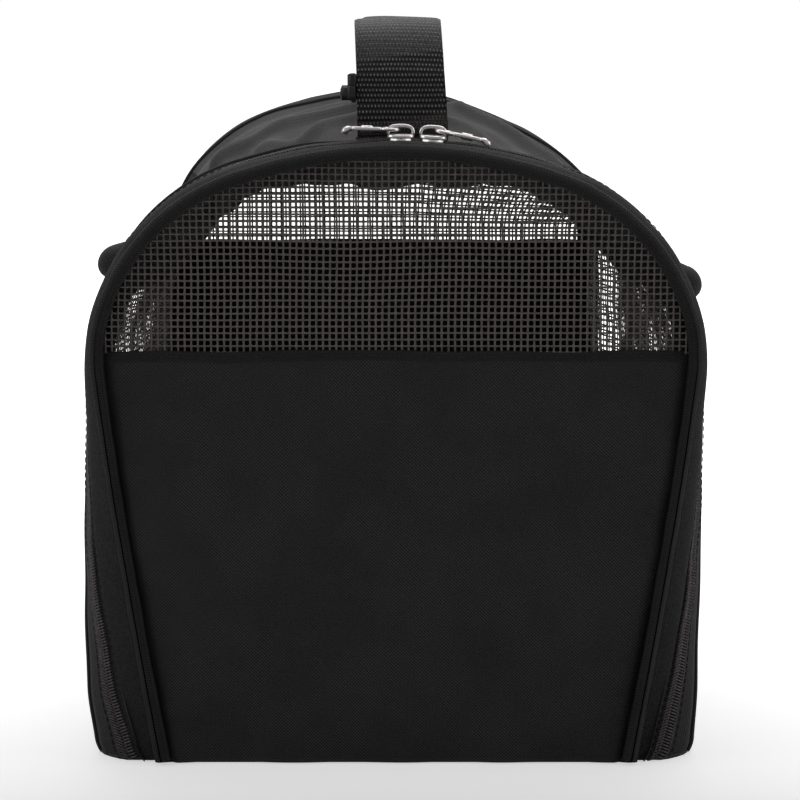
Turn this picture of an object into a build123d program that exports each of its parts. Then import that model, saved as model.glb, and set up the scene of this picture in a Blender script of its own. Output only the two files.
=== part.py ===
from build123d import *
import math
import os

# Soft-sided pet carrier bag, all sizes in mm.
# Origin: middle of the base on the floor. Door end toward -Y, +X to the right seen from the door, +Z up.

# ---- overall shape -------------------------------------------------------------------------------
LENGTH = 432.0
HEIGHT = 274.0
FLOOR_HALF_WIDTH = 133.0
CROWN_RADIUS = 240.0
CROWN_HALF_ANGLE = 17.0
SHOULDER_RADIUS = 93.0
SIDE_LEAN = 1.0                      # degrees each wall leans in toward the floor
SIDE_TURN = 0.82                     # where down the wall it turns toward the tucked floor corner

HALF_LENGTH = LENGTH / 2
CROWN_CENTRE_Z = HEIGHT - CROWN_RADIUS
SHOULDER_CENTRE_X = (CROWN_RADIUS - SHOULDER_RADIUS) * math.sin(math.radians(CROWN_HALF_ANGLE))
SHOULDER_CENTRE_Z = CROWN_CENTRE_Z + (CROWN_RADIUS - SHOULDER_RADIUS) * math.cos(math.radians(CROWN_HALF_ANGLE))

# ---- corners: distance behind the end, inset of the arch, how far the floor corner is tucked in ----
END_INSET = 6.0
END_TUCK = 25.4
ZIP_Y = -(HALF_LENGTH - 20.0)
CORNER = [
    (3.0, END_INSET, END_TUCK),
    (10.0, 1.8, 15.0),
    (20.0, 0.0, 5.4),
    (37.0, 0.0, 0.0),
]
STATIONS = [(back - HALF_LENGTH, inset, tuck) for back, inset, tuck in CORNER]
STATIONS += [(HALF_LENGTH - back, inset, tuck) for back, inset, tuck in reversed(CORNER)]

# ---- cloth and trim --------------------------------------------------------------------------------
CLOTH = 1.6
PADDED = 2.4
SEAM_GAP = 0.25
FLOOR_THICK = 2.5
SKIRT_Z = FLOOR_THICK + SEAM_GAP     # lower edge of every wall piece
END_SEAM_Z = 183.0                   # horizontal seam between end panel and end mesh
HEM_HEIGHT = 6.0
HEM_THICK = 1.1
PIPING_DIAMETER = 6.5
PIPING_INSET = 5.6
PIPING_Y = HALF_LENGTH - 2.0
PANEL_FRONT_Y = HALF_LENGTH - 2.5
PANEL_INSET = PIPING_INSET + PIPING_DIAMETER / 2 + 2 * SEAM_GAP
MESH_THICK = 0.9

# ---- zip -------------------------------------------------------------------------------------------
COIL_HALF = 3.0
COIL_PROUD = 0.4
COIL_THICK = 2.2
TAPE_THICK = 0.7
TAPE_DEPTH = CLOTH + SEAM_GAP
TAPE_LAP = 6.5
CLOTH_TO_COIL = 1.6
STOP_HEIGHT = 1.2

# ---- roof, sides and covers --------------------------------------------------------------------------
BAND_Y = HALF_LENGTH - 37.0          # where the end bands meet the side panels
ROOF_SEAM_Z = 228.0
ROOF_SAG = 36.0
ROOF_FLAT_Y = HALF_LENGTH - 50.0
WINDOW_LOW = 70.0
WINDOW_HIGH = 203.0
WINDOW_HALF_LENGTH = 150.0
WINDOW_CORNER = 26.0
BINDING_WIDTH = 8.0
ROLL_DIAMETER = 11.0
ROLL_HALF_LENGTH = 152.0
ROLL_ANGLE = 27.0                    # degrees above horizontal, seen from the shoulder centre
TIE_WIDTH = 10.0
TIE_THICK = 1.2
TIE_Y = 92.0
TAB_Z = 100.0

# ---- hoops -------------------------------------------------------------------------------------------
HOOP_Y = HALF_LENGTH - 33.0
HOOP_INSET = 6.2
HOOP_WIRE = 2.8
SLEEVE_DIAMETER = 6.8
SLEEVE_BORE = HOOP_WIRE + 0.12

# ---- inside ------------------------------------------------------------------------------------------
BOARD_THICK = 3.0
BOARD_DEPTH = 14.0
BOARD_HALF_LENGTH = HALF_LENGTH - 13.0
MAT_THICK = 14.0
MAT_DEPTH = 17.0
MAT_EDGE = 5.0

# ---- handle ------------------------------------------------------------------------------------------
WEBBING_WIDTH = 38.0
WEBBING_THICK = 2.2
FOOT_FRONT_Y = HALF_LENGTH - 26.5
FOOT_BACK_Y = HALF_LENGTH - 50.0
TONGUE_Y = HALF_LENGTH - 37.0
HANDLE_PIVOT_Z = HEIGHT + 14.0
HANDLE_TOP_Z = 326.0
HANDLE_BEND = 26.0
RISER_Y = HALF_LENGTH - 32.5         # middle of the webbing thickness
KEEPER_WIDTH = 48.0
KEEPER_HEIGHT = 10.5
KEEPER_BAR = 2.0
KEEPER_SHIFT = -1.2

# ---- zip sliders ---------------------------------------------------------------------------------------
SLIDER_LENGTH = 12.0
SLIDER_WIDTH = 9.0
SLIDER_PLATE = 2.4
SLIDER_CLEARANCE = 0.6
BAIL_HEIGHT = 4.3
BAIL_BAR = 1.2
BAIL_WIDTH = 3.0
BAIL_LENGTH = 11.0
PULL_LENGTH = 22.0
PULL_WIDTH = 6.4
PULL_THICK = 1.4
PULL_PIN_OFFSET = 2.3                # pin toward the outer end of the bail
PULL_EYE = 4.9
PULL_LEAN = 8.0                      # degrees the resting pull slopes down from its pin
LEFT_SLIDER_X = 2.0
RIGHT_SLIDER_X = 15.7

# ---- door hinge ------------------------------------------------------------------------------------------
HINGE_Y = -PANEL_FRONT_Y
HINGE_Z = 3.8
DOOR_SKIRT_Z = HINGE_Z + 0.4
FAR = 1000.0


def local_section(y):
    """Inset and floor tuck of the skin at y, straight between the stations."""
    for (y0, inset0, tuck0), (y1, inset1, tuck1) in zip(STATIONS, STATIONS[1:]):
        if y <= y1:
            break
    share = min(1.0, max(0.0, (y - y0) / (y1 - y0)))
    return inset0 + share * (inset1 - inset0), tuck0 + share * (tuck1 - tuck0)


def arch_edges(y, inset, tuck):
    """The arch at y as five edges, from the left floor corner over the crown to the right one."""
    crown = math.radians(CROWN_HALF_ANGLE)
    lean = math.radians(SIDE_LEAN)
    middle = (crown + math.pi / 2 + lean) / 2
    crown_r = CROWN_RADIUS - inset
    shoulder_r = SHOULDER_RADIUS - inset

    def shoulder(angle):
        return (
            SHOULDER_CENTRE_X + shoulder_r * math.sin(angle),
            SHOULDER_CENTRE_Z + shoulder_r * math.cos(angle),
        )

    top = (0.0, CROWN_CENTRE_Z + crown_r)
    joint = shoulder(crown)
    bulge = shoulder(middle)
    end = shoulder(math.pi / 2 + lean)
    control_z = end[1] * SIDE_TURN
    control = (end[0] - (end[1] - control_z) * math.tan(lean), control_z)
    floor = (FLOOR_HALF_WIDTH - inset - tuck, 0.0)

    def at(point, side):
        return Vector(side * point[0], y, point[1])

    return [
        Edge.make_bezier(at(floor, -1), at(control, -1), at(end, -1)),
        Edge.make_three_point_arc(at(end, -1), at(bulge, -1), at(joint, -1)),
        Edge.make_three_point_arc(at(joint, -1), at(top, 1), at(joint, 1)),
        Edge.make_three_point_arc(at(joint, 1), at(bulge, 1), at(end, 1)),
        Edge.make_bezier(at(end, 1), at(control, 1), at(floor, 1)),
    ]


def arch_wire(y, depth):
    """Closed arch outline lying depth below the skin at y."""
    inset, tuck = local_section(y)
    edges = arch_edges(y, inset + depth, tuck)
    edges.append(Edge.make_line(edges[-1] @ 1, edges[0] @ 0))
    return Wire(edges)


def tunnel(y0, y1, depth):
    """Solid arch from y0 to y1, depth below the skin."""
    inner = [station[0] for station in STATIONS if y0 < station[0] < y1]
    stops = [y0] + inner + [y1]
    body = None
    for start, stop in zip(stops, stops[1:]):
        piece = Solid.make_loft([arch_wire(start, depth), arch_wire(stop, depth)], ruled=True)
        body = piece if body is None else body + piece
    return body


def slab(z0, z1):
    """Everything between two heights."""
    return Pos(0, 0, (z0 + z1) / 2) * Box(FAR, FAR, z1 - z0)


def band(y0, y1, depth, thick, z0=SKIRT_Z, z1=FAR / 2):
    """Strip of skin from y0 to y1, open at the floor, kept between two heights."""
    shell = tunnel(y0, y1, depth) - tunnel(y0, y1, depth + thick)
    return shell & slab(z0, z1)


def end_plate(y0, y1, depth, z0, z1):
    """Flat D-shaped plate at one end of the bag, the same outline through its thickness."""
    edges = arch_edges(y0, END_INSET + depth, END_TUCK)
    edges.append(Edge.make_line(edges[-1] @ 1, edges[0] @ 0))
    plate = Solid.extrude(Face(Wire(edges)), Vector(0, y1 - y0, 0))
    return plate & slab(z0, z1)


def arch_tube(y, inset, tuck, diameter, z0):
    """Round tube following the arch at y."""
    path = Wire(arch_edges(y, inset, tuck))
    start = path @ 0
    profile = Plane(start, z_dir=path % 0) * Circle(diameter / 2)
    return sweep(profile, path=path) & slab(z0, FAR / 2)


def half(solid, side):
    """The left (-1) or right (+1) half of a symmetric solid."""
    return solid & (Pos(side * FAR / 2, 0, 0) * Box(FAR, FAR, FAR))


def window_block(grow):
    """Rounded block that passes through both side windows, grown on every edge."""
    length = 2 * (WINDOW_HALF_LENGTH + grow)
    height = WINDOW_HIGH - WINDOW_LOW + 2 * grow
    middle = (WINDOW_HIGH + WINDOW_LOW) / 2
    face = Plane.YZ * Pos(0, middle) * RectangleRounded(length, height, WINDOW_CORNER + grow)
    return extrude(face, FAR / 2, both=True)


# ---- door ------------------------------------------------------------------------------------------------

def door_panel():
    return end_plate(-PANEL_FRONT_Y, -PANEL_FRONT_Y + CLOTH, PANEL_INSET - END_INSET, DOOR_SKIRT_Z, END_SEAM_Z)


def door_mesh():
    return end_plate(
        -PANEL_FRONT_Y + 0.3, -PANEL_FRONT_Y + 0.3 + MESH_THICK, PANEL_INSET - END_INSET,
        END_SEAM_Z + SEAM_GAP, HEIGHT,
    )


def end_hem(face_y, outward):
    """Folded strip sewn over the seam between end panel and mesh."""
    near = face_y + outward * 0.1
    far = near + outward * HEM_THICK
    low = END_SEAM_Z - HEM_HEIGHT / 2
    return end_plate(min(near, far), max(near, far), PANEL_INSET - END_INSET + 0.2, low, low + HEM_HEIGHT)


def door_hem():
    return end_hem(-PANEL_FRONT_Y, -1)


def door_piping():
    return arch_tube(-PIPING_Y, PIPING_INSET, END_TUCK + END_INSET - PIPING_INSET, PIPING_DIAMETER, DOOR_SKIRT_Z)


def door_gusset():
    front = -PIPING_Y + PIPING_DIAMETER / 2 + SEAM_GAP
    return band(front, ZIP_Y - COIL_HALF - CLOTH_TO_COIL, 0, CLOTH, DOOR_SKIRT_Z)


def door_zip_tape():
    back = ZIP_Y - COIL_HALF - SEAM_GAP
    return band(back - TAPE_LAP, back, TAPE_DEPTH, TAPE_THICK, DOOR_SKIRT_Z)


def door_zip_coil():
    return band(ZIP_Y - COIL_HALF, ZIP_Y - 0.1, -COIL_PROUD, COIL_THICK, DOOR_SKIRT_Z)


# ---- body shell --------------------------------------------------------------------------------------------

def body_zip_coil():
    return band(ZIP_Y + 0.1, ZIP_Y + COIL_HALF, -COIL_PROUD, COIL_THICK, DOOR_SKIRT_Z)


def body_zip_tape():
    front = ZIP_Y + COIL_HALF + SEAM_GAP
    return band(front, front + TAPE_LAP, TAPE_DEPTH, TAPE_THICK, DOOR_SKIRT_Z)


def front_band():
    return band(ZIP_Y + COIL_HALF + CLOTH_TO_COIL, -BAND_Y, 0, CLOTH)


def rear_gusset():
    return band(BAND_Y, PIPING_Y - PIPING_DIAMETER / 2 - SEAM_GAP, 0, CLOTH)


def rear_piping():
    return arch_tube(PIPING_Y, PIPING_INSET, END_TUCK + END_INSET - PIPING_INSET, PIPING_DIAMETER, SKIRT_Z)


def rear_panel():
    return end_plate(PANEL_FRONT_Y - CLOTH, PANEL_FRONT_Y, PANEL_INSET - END_INSET, SKIRT_Z, END_SEAM_Z)


def rear_mesh():
    back = PANEL_FRONT_Y - 0.3
    return end_plate(back - MESH_THICK, back, PANEL_INSET - END_INSET, END_SEAM_Z + SEAM_GAP, HEIGHT)


def rear_hem():
    return end_hem(PANEL_FRONT_Y, 1)


def zip_end_stops():
    """One metal stop at the floor end of each run of zip coil."""
    half_width = 1.6
    proud = COIL_PROUD + 0.8
    thick = COIL_THICK + 1.2
    return band(ZIP_Y - half_width, ZIP_Y + half_width, -proud, thick, SKIRT_Z, SKIRT_Z + STOP_HEIGHT)


def floor_panel():
    return tunnel(-HALF_LENGTH + 6.0, HALF_LENGTH - 6.0, 0) & slab(0, FLOOR_THICK)


def hinge_binding():
    """Bound edge of the floor panel that the door is sewn to."""
    half_width = FLOOR_HALF_WIDTH - END_INSET - END_TUCK - 9.0
    depth = 3.2
    block = Box(2 * half_width, depth, FLOOR_THICK)
    return Pos(0, -HALF_LENGTH + 6.0 - SEAM_GAP - depth / 2, FLOOR_THICK / 2) * block


def side_panel(side):
    wall = band(-BAND_Y + SEAM_GAP, BAND_Y - SEAM_GAP, 0, PADDED, SKIRT_Z, ROOF_SEAM_Z)
    return half(wall, side) - window_block(0)


def side_mesh(side):
    sheet = band(-BAND_Y + SEAM_GAP, BAND_Y - SEAM_GAP, 0.6, MESH_THICK, SKIRT_Z, ROOF_SEAM_Z)
    return half(sheet, side) & window_block(-SEAM_GAP)


def window_binding(side):
    """Flat binding sewn round the window on the outside."""
    skin = band(-BAND_Y + SEAM_GAP, BAND_Y - SEAM_GAP, -SEAM_GAP - 1.0, 1.0, SKIRT_Z, ROOF_SEAM_Z)
    frame = window_block(BINDING_WIDTH / 2) - window_block(-BINDING_WIDTH / 2)
    return half(skin, side) & frame


def roof_point(share, y):
    """Point on the roof skin: share runs -1..1 across, the crown sags between the hoops."""
    edge_height = ROOF_SEAM_Z + SEAM_GAP
    edge_angle = math.acos((ROOF_SEAM_Z - PADDED - SHOULDER_CENTRE_Z) / SHOULDER_RADIUS)
    crown = math.radians(CROWN_HALF_ANGLE)
    shoulder_length = SHOULDER_RADIUS * (edge_angle - crown)
    crown_length = CROWN_RADIUS * crown
    travel = abs(share) * (shoulder_length + crown_length)
    if travel < crown_length:
        angle = travel / CROWN_RADIUS
        x = CROWN_RADIUS * math.sin(angle)
        z = CROWN_CENTRE_Z + CROWN_RADIUS * math.cos(angle)
    else:
        angle = crown + (travel - crown_length) / SHOULDER_RADIUS
        x = SHOULDER_CENTRE_X + SHOULDER_RADIUS * math.sin(angle)
        z = SHOULDER_CENTRE_Z + SHOULDER_RADIUS * math.cos(angle)
    along = min(1.0, abs(y) / ROOF_FLAT_Y)
    fall = math.cos(along * math.pi / 2) ** 2
    keep = 1.0 - ROOF_SAG * fall / (HEIGHT - ROOF_SEAM_Z)
    if z > edge_height:
        z = edge_height + (z - edge_height) * keep
    return Vector(math.copysign(x, share), y, z)


def roof_panel():
    """Padded roof, full height over the hoops and sagging between them."""
    end = BAND_Y - SEAM_GAP
    across = 17
    along = 15
    rows = []
    for i in range(along):
        y = -end + 2 * end * i / (along - 1)
        rows.append([roof_point(-1 + 2 * j / (across - 1), y) for j in range(across)])
    skin = Face.make_surface_from_array_of_points(rows)
    inward = -PADDED if skin.normal_at().Z > 0 else PADDED
    return Solid.thicken(skin, inward) & slab(ROOF_SEAM_Z + SEAM_GAP, FAR / 2)


def cover_roll(side):
    """Rolled-up window cover lying along the top of the window."""
    angle = math.radians(ROLL_ANGLE)
    reach = SHOULDER_RADIUS + ROLL_DIAMETER / 2 + TIE_THICK + 0.3
    x = SHOULDER_CENTRE_X + reach * math.cos(angle)
    z = SHOULDER_CENTRE_Z + reach * math.sin(angle)
    bar = Pos(side * x, 0, z) * Rot(90, 0, 0) * Cylinder(ROLL_DIAMETER / 2, 2 * ROLL_HALF_LENGTH)
    return fillet(bar.edges(), 2.5)


def cover_ties(side):
    """Two elastic loops that hold the rolled cover up."""
    angle = math.radians(ROLL_ANGLE)
    reach = SHOULDER_RADIUS + ROLL_DIAMETER / 2 + TIE_THICK + 0.3
    x = SHOULDER_CENTRE_X + reach * math.cos(angle)
    z = SHOULDER_CENTRE_Z + reach * math.sin(angle)
    bore = ROLL_DIAMETER / 2 + 0.1
    loops = []
    for y in (-TIE_Y, TIE_Y):
        loop = Cylinder(bore + TIE_THICK, TIE_WIDTH) - Cylinder(bore, TIE_WIDTH)
        loops.append(Pos(side * x, y, z) * Rot(90, 0, 0) * loop)
    return loops


def hoop_wire(end):
    y = end * HOOP_Y
    tuck = local_section(y)[1]
    return arch_tube(y, HOOP_INSET, tuck, HOOP_WIRE, SKIRT_Z + 4.0)


def hoop_sleeve(end):
    y = end * HOOP_Y
    tuck = local_section(y)[1]
    outer = arch_tube(y, HOOP_INSET, tuck, SLEEVE_DIAMETER, SKIRT_Z + 1.0)
    return outer - arch_tube(y, HOOP_INSET, tuck, SLEEVE_BORE, 0)


def side_tab():
    """Small folded webbing loop low on the left side near the door."""
    reach = 7.0
    height = 7.0
    length = 11.0
    wall = 1.6
    x = -(FLOOR_HALF_WIDTH + 2.0)
    outer = Box(reach, length, height) - Box(reach - 2 * wall, length, height - 2 * wall)
    return Pos(x - reach / 2, -BAND_Y + 14.0, TAB_Z) * outer


# ---- inside --------------------------------------------------------------------------------------------------

def base_board():
    low = FLOOR_THICK + SEAM_GAP
    return tunnel(-BOARD_HALF_LENGTH, BOARD_HALF_LENGTH, BOARD_DEPTH) & slab(low, low + BOARD_THICK)


def fleece_mat():
    low = FLOOR_THICK + BOARD_THICK + 2 * SEAM_GAP
    pad = tunnel(-BOARD_HALF_LENGTH, BOARD_HALF_LENGTH, MAT_DEPTH) & slab(low, low + MAT_THICK)
    return fillet(pad.faces().sort_by(Axis.Z)[-1].edges(), MAT_EDGE)


# ---- handle ----------------------------------------------------------------------------------------------------

def handle_foot(end):
    """Webbing patch sewn over the hoop, with the tongue the handle rises from."""
    patch_low = CROWN_RADIUS + 0.3
    ring = Cylinder(patch_low + WEBBING_THICK, FOOT_FRONT_Y - FOOT_BACK_Y) - Cylinder(
        patch_low, FOOT_FRONT_Y - FOOT_BACK_Y
    )
    middle_y = (FOOT_FRONT_Y + FOOT_BACK_Y) / 2
    ring = Pos(0, end * middle_y, CROWN_CENTRE_Z) * Rot(90, 0, 0) * ring
    patch = ring & (Pos(0, 0, HEIGHT) * Box(WEBBING_WIDTH, FAR, 20.0))
    tongue_low = HEIGHT + 1.0
    tongue_high = HANDLE_PIVOT_Z + 2.3
    tongue = Pos(0, end * TONGUE_Y, (tongue_low + tongue_high) / 2) * Box(
        WEBBING_WIDTH, WEBBING_THICK, tongue_high - tongue_low
    )
    return patch + tongue


def handle_strap():
    """One length of webbing, standing up at both ends and running flat along the top."""
    with BuildLine() as path:
        rise = Line((-RISER_Y, HANDLE_PIVOT_Z), (-RISER_Y, HANDLE_TOP_Z - WEBBING_THICK / 2 - HANDLE_BEND))
        bend = RadiusArc(
            rise @ 1, (-RISER_Y + HANDLE_BEND, HANDLE_TOP_Z - WEBBING_THICK / 2), HANDLE_BEND
        )
        run = Line(bend @ 1, (RISER_Y - HANDLE_BEND, HANDLE_TOP_Z - WEBBING_THICK / 2))
        drop = RadiusArc(run @ 1, (RISER_Y, HANDLE_TOP_Z - WEBBING_THICK / 2 - HANDLE_BEND), HANDLE_BEND)
        Line(drop @ 1, (RISER_Y, HANDLE_PIVOT_Z))
    ribbon = trace(path.line, WEBBING_THICK)
    return extrude(Plane.YZ * ribbon, WEBBING_WIDTH / 2, both=True)


def handle_keeper():
    """Plastic clip behind the front riser, its two ends gripping the webbing edges."""
    slot_width = WEBBING_WIDTH + 0.8
    slot_depth = WEBBING_THICK + 0.3
    outer = Box(KEEPER_WIDTH, slot_depth + 2 * (KEEPER_BAR - 0.2), KEEPER_HEIGHT)
    outer = fillet(outer.edges().filter_by(Axis.Z), 1.2)
    slot = Pos(-KEEPER_SHIFT, -KEEPER_BAR / 2, 0) * Box(slot_width, slot_depth + KEEPER_BAR, KEEPER_HEIGHT)
    low = HANDLE_PIVOT_Z + 2.9
    return Pos(KEEPER_SHIFT, -RISER_Y, low + KEEPER_HEIGHT / 2) * (outer - slot)


# ---- zip sliders -------------------------------------------------------------------------------------------------

PLATE_LOW = HEIGHT + COIL_PROUD + SLIDER_CLEARANCE
PIN_Z = PLATE_LOW + SLIDER_PLATE + (BAIL_HEIGHT - BAIL_BAR) / 2 + 0.3


def along_crown(x, shape):
    """Move a piece built at the middle of the crown along the zip to the given x."""
    angle = math.degrees(math.asin(x / CROWN_RADIUS))
    centre = Pos(0, 0, CROWN_CENTRE_Z)
    return centre * Rot(0, angle, 0) * Pos(0, 0, -CROWN_CENTRE_Z) * shape


def slider_body(x):
    plate = Pos(0, ZIP_Y, PLATE_LOW + SLIDER_PLATE / 2) * Box(SLIDER_LENGTH, SLIDER_WIDTH, SLIDER_PLATE)
    plate = fillet(plate.edges().filter_by(Axis.Z), 2.0)
    plate = fillet(plate.faces().sort_by(Axis.Z)[-1].edges(), 0.6)
    bail_low = PLATE_LOW + SLIDER_PLATE - 0.4
    tall = BAIL_HEIGHT + 0.4
    outer = fillet(Box(BAIL_LENGTH, BAIL_WIDTH, 2 * tall).edges().filter_by(Axis.Y), 2.0)
    inner = fillet(
        Box(BAIL_LENGTH - 2 * BAIL_BAR, BAIL_WIDTH, 2 * (tall - BAIL_BAR)).edges().filter_by(Axis.Y), 1.0
    )
    arch = (outer - inner) & (Pos(0, 0, tall) * Box(FAR, FAR, 2 * tall))
    return along_crown(x, plate + Pos(0, ZIP_Y, bail_low) * arch)


def pull(x, side):
    """Pull tab lying outward from its slider: pin, two eye bars and a tapered blade with a round end."""
    pin_x = side * PULL_PIN_OFFSET
    eye_half = PULL_WIDTH / 2
    bar = 1.3
    with BuildSketch() as shape:
        with BuildLine():
            Polyline(
                (-PULL_THICK / 2, -eye_half), (PULL_EYE + bar, -eye_half), (PULL_EYE + 4.0, -1.9),
                (PULL_LENGTH - 2.0, -1.6), (PULL_LENGTH - 2.0, 1.6), (PULL_EYE + 4.0, 1.9),
                (PULL_EYE + bar, eye_half), (-PULL_THICK / 2, eye_half), close=True,
            )
        make_face()
        with Locations((PULL_LENGTH - 2.0, 0)):
            Circle(2.0)
        with Locations(((PULL_THICK / 2 + PULL_EYE) / 2, 0)):
            Rectangle(PULL_EYE - PULL_THICK / 2, PULL_WIDTH - 2 * bar, mode=Mode.SUBTRACT)
    blade = extrude(shape.sketch, PULL_THICK / 2, both=True)
    lean = Rot(0, PULL_LEAN, 0)
    placed = lean * blade
    if side < 0:
        placed = mirror(placed, about=Plane.YZ)
    return along_crown(x, Pos(pin_x, ZIP_Y, PIN_Z) * placed)


PIECES = {
    "door_panel": door_panel,
    "door_mesh": door_mesh,
    "door_hem": door_hem,
    "door_piping": door_piping,
    "door_gusset": door_gusset,
    "door_zip_tape": door_zip_tape,
    "door_zip_coil": door_zip_coil,
    "body_zip_coil": body_zip_coil,
    "body_zip_tape": body_zip_tape,
    "front_band": front_band,
    "rear_gusset": rear_gusset,
    "rear_piping": rear_piping,
    "rear_panel": rear_panel,
    "rear_mesh": rear_mesh,
    "rear_hem": rear_hem,
    "zip_end_stops": zip_end_stops,
    "floor_panel": floor_panel,
    "hinge_binding": hinge_binding,
    "side_panel_left": lambda: side_panel(-1),
    "side_panel_right": lambda: side_panel(1),
    "side_mesh_left": lambda: side_mesh(-1),
    "side_mesh_right": lambda: side_mesh(1),
    "window_binding_left": lambda: window_binding(-1),
    "window_binding_right": lambda: window_binding(1),
    "roof_panel": roof_panel,
    "cover_roll_left": lambda: cover_roll(-1),
    "cover_roll_right": lambda: cover_roll(1),
    "cover_ties_left": lambda: cover_ties(-1),
    "cover_ties_right": lambda: cover_ties(1),
    "front_hoop": lambda: hoop_wire(-1),
    "rear_hoop": lambda: hoop_wire(1),
    "front_hoop_sleeve": lambda: hoop_sleeve(-1),
    "rear_hoop_sleeve": lambda: hoop_sleeve(1),
    "side_tab": side_tab,
    "base_board": base_board,
    "fleece_mat": fleece_mat,
    "handle_foot_front": lambda: handle_foot(-1),
    "handle_foot_rear": lambda: handle_foot(1),
    "handle_strap": handle_strap,
    "handle_keeper": handle_keeper,
    "slider_left": lambda: slider_body(LEFT_SLIDER_X),
    "slider_right": lambda: slider_body(RIGHT_SLIDER_X),
    "pull_left": lambda: pull(LEFT_SLIDER_X, -1),
    "pull_right": lambda: pull(RIGHT_SLIDER_X, 1),
}

GROUPS = {"zip_end_stops", "cover_ties_left", "cover_ties_right"}


def main():
    os.makedirs("parts", exist_ok=True)
    for name, make in PIECES.items():
        shape = make()
        solids = shape if isinstance(shape, list) else [shape]
        solids = [solid for item in solids for solid in item.solids()]
        if name not in GROUPS:
            assert len(solids) == 1, f"{name}: expected one solid, found {len(solids)}"
        piece = Compound(children=solids) if len(solids) > 1 else solids[0]
        export_step(piece, f"parts/{name}.step")
        size = piece.bounding_box()
        print(f"{name:22s} {len(solids)}  {size.min.X:7.1f} {size.max.X:7.1f}  {size.min.Y:7.1f}"
              f" {size.max.Y:7.1f}  {size.min.Z:7.1f} {size.max.Z:7.1f}  {piece.volume:10.1f}")


main()
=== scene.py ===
import math

import bpy
import numpy as np
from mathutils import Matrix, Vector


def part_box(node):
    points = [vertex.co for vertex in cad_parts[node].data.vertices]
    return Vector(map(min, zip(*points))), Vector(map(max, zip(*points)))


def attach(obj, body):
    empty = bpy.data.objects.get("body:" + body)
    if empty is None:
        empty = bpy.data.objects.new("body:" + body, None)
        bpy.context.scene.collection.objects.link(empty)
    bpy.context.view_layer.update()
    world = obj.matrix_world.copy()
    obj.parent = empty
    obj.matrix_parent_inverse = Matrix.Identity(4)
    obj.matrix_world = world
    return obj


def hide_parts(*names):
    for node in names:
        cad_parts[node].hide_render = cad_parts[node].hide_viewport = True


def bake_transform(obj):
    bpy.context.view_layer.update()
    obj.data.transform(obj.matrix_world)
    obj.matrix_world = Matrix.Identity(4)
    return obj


# Soft-sided pet carrier bag, in metres, in the frame shared with the CAD part:
# origin at the middle of the base, door end toward -Y, +X to the right seen from the door, +Z up.

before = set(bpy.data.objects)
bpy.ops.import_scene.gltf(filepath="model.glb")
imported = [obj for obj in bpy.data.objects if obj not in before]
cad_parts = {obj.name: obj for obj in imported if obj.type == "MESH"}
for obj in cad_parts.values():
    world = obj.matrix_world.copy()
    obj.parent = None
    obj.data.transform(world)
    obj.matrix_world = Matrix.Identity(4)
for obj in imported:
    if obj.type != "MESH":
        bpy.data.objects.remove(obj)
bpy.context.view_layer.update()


def box_of(node):
    low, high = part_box(node)
    return np.array(low), np.array(high)


# ---- sizes read from the frame ----------------------------------------------------------------------
HEIGHT = box_of("front_band")[1][2]
FLOOR_HALF_WIDTH = box_of("floor_panel")[1][0]
PANEL_Y = -box_of("door_panel")[0][1]            # outer face of the end panels
PIPING_NEAR_Y, PIPING_FAR_Y = (corner[1] for corner in box_of("rear_piping"))
PIPING_Y = (PIPING_NEAR_Y + PIPING_FAR_Y) / 2
PIPING_RADIUS = (PIPING_FAR_Y - PIPING_NEAR_Y) / 2
COIL_FRONT_Y, COIL_BACK_Y = (corner[1] for corner in box_of("door_zip_coil"))
ZIP_Y = COIL_BACK_Y + 0.0001                     # where the two halves of the coil meet
COIL_HALF = ZIP_Y - COIL_FRONT_Y
BAND_Y = -box_of("front_band")[1][1]
END_SEAM_Z = box_of("door_panel")[1][2]
ROOF_SEAM_Z = box_of("roof_panel")[0][2]
SKIRT_Z = box_of("side_panel_left")[0][2]
DOOR_SKIRT_Z = box_of("door_panel")[0][2]
WINDOW_LOW = box_of("side_mesh_left")[0][2]
_, WINDOW_HALF_LENGTH, WINDOW_HIGH = box_of("side_mesh_left")[1]
HOOP_Y = sum(box_of("rear_hoop"))[1] / 2
STRAP_HALF, STRAP_END_Y, STRAP_TOP_Z = box_of("handle_strap")[1]
STRAP_Y = STRAP_END_Y - 0.0011                   # middle of the webbing on its risers
HANDLE_PIVOT_Z = box_of("handle_strap")[0][2]
STRAP_MIDDLE = 0.0012                             # from its top face down to its middle line
STRAP_BEND = 0.022                                # radius where a riser turns into the grip
FOOT_BEND = 0.0035                                # radius where a foot turns up into a riser
COIL_END_Z = 0.0012
COIL_SPREAD = 1.18                                # the sewn coil lies a little flatter than the plain one
HEM_Z = 0.0004                                    # where the cloth turns under at the floor
STRAP_REAR_DROP = 0.009
STRAP_SAG = 0.003

# ---- arch of the bag's end --------------------------------------------------------------------------
CROWN_RADIUS = 0.240
CROWN_ANGLE = math.radians(17.0)
SHOULDER_RADIUS = 0.093
SIDE_LEAN = math.radians(1.0)
CROWN_Z = HEIGHT - CROWN_RADIUS
SHOULDER_X = (CROWN_RADIUS - SHOULDER_RADIUS) * math.sin(CROWN_ANGLE)
SHOULDER_Z = CROWN_Z + (CROWN_RADIUS - SHOULDER_RADIUS) * math.cos(CROWN_ANGLE)

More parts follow.
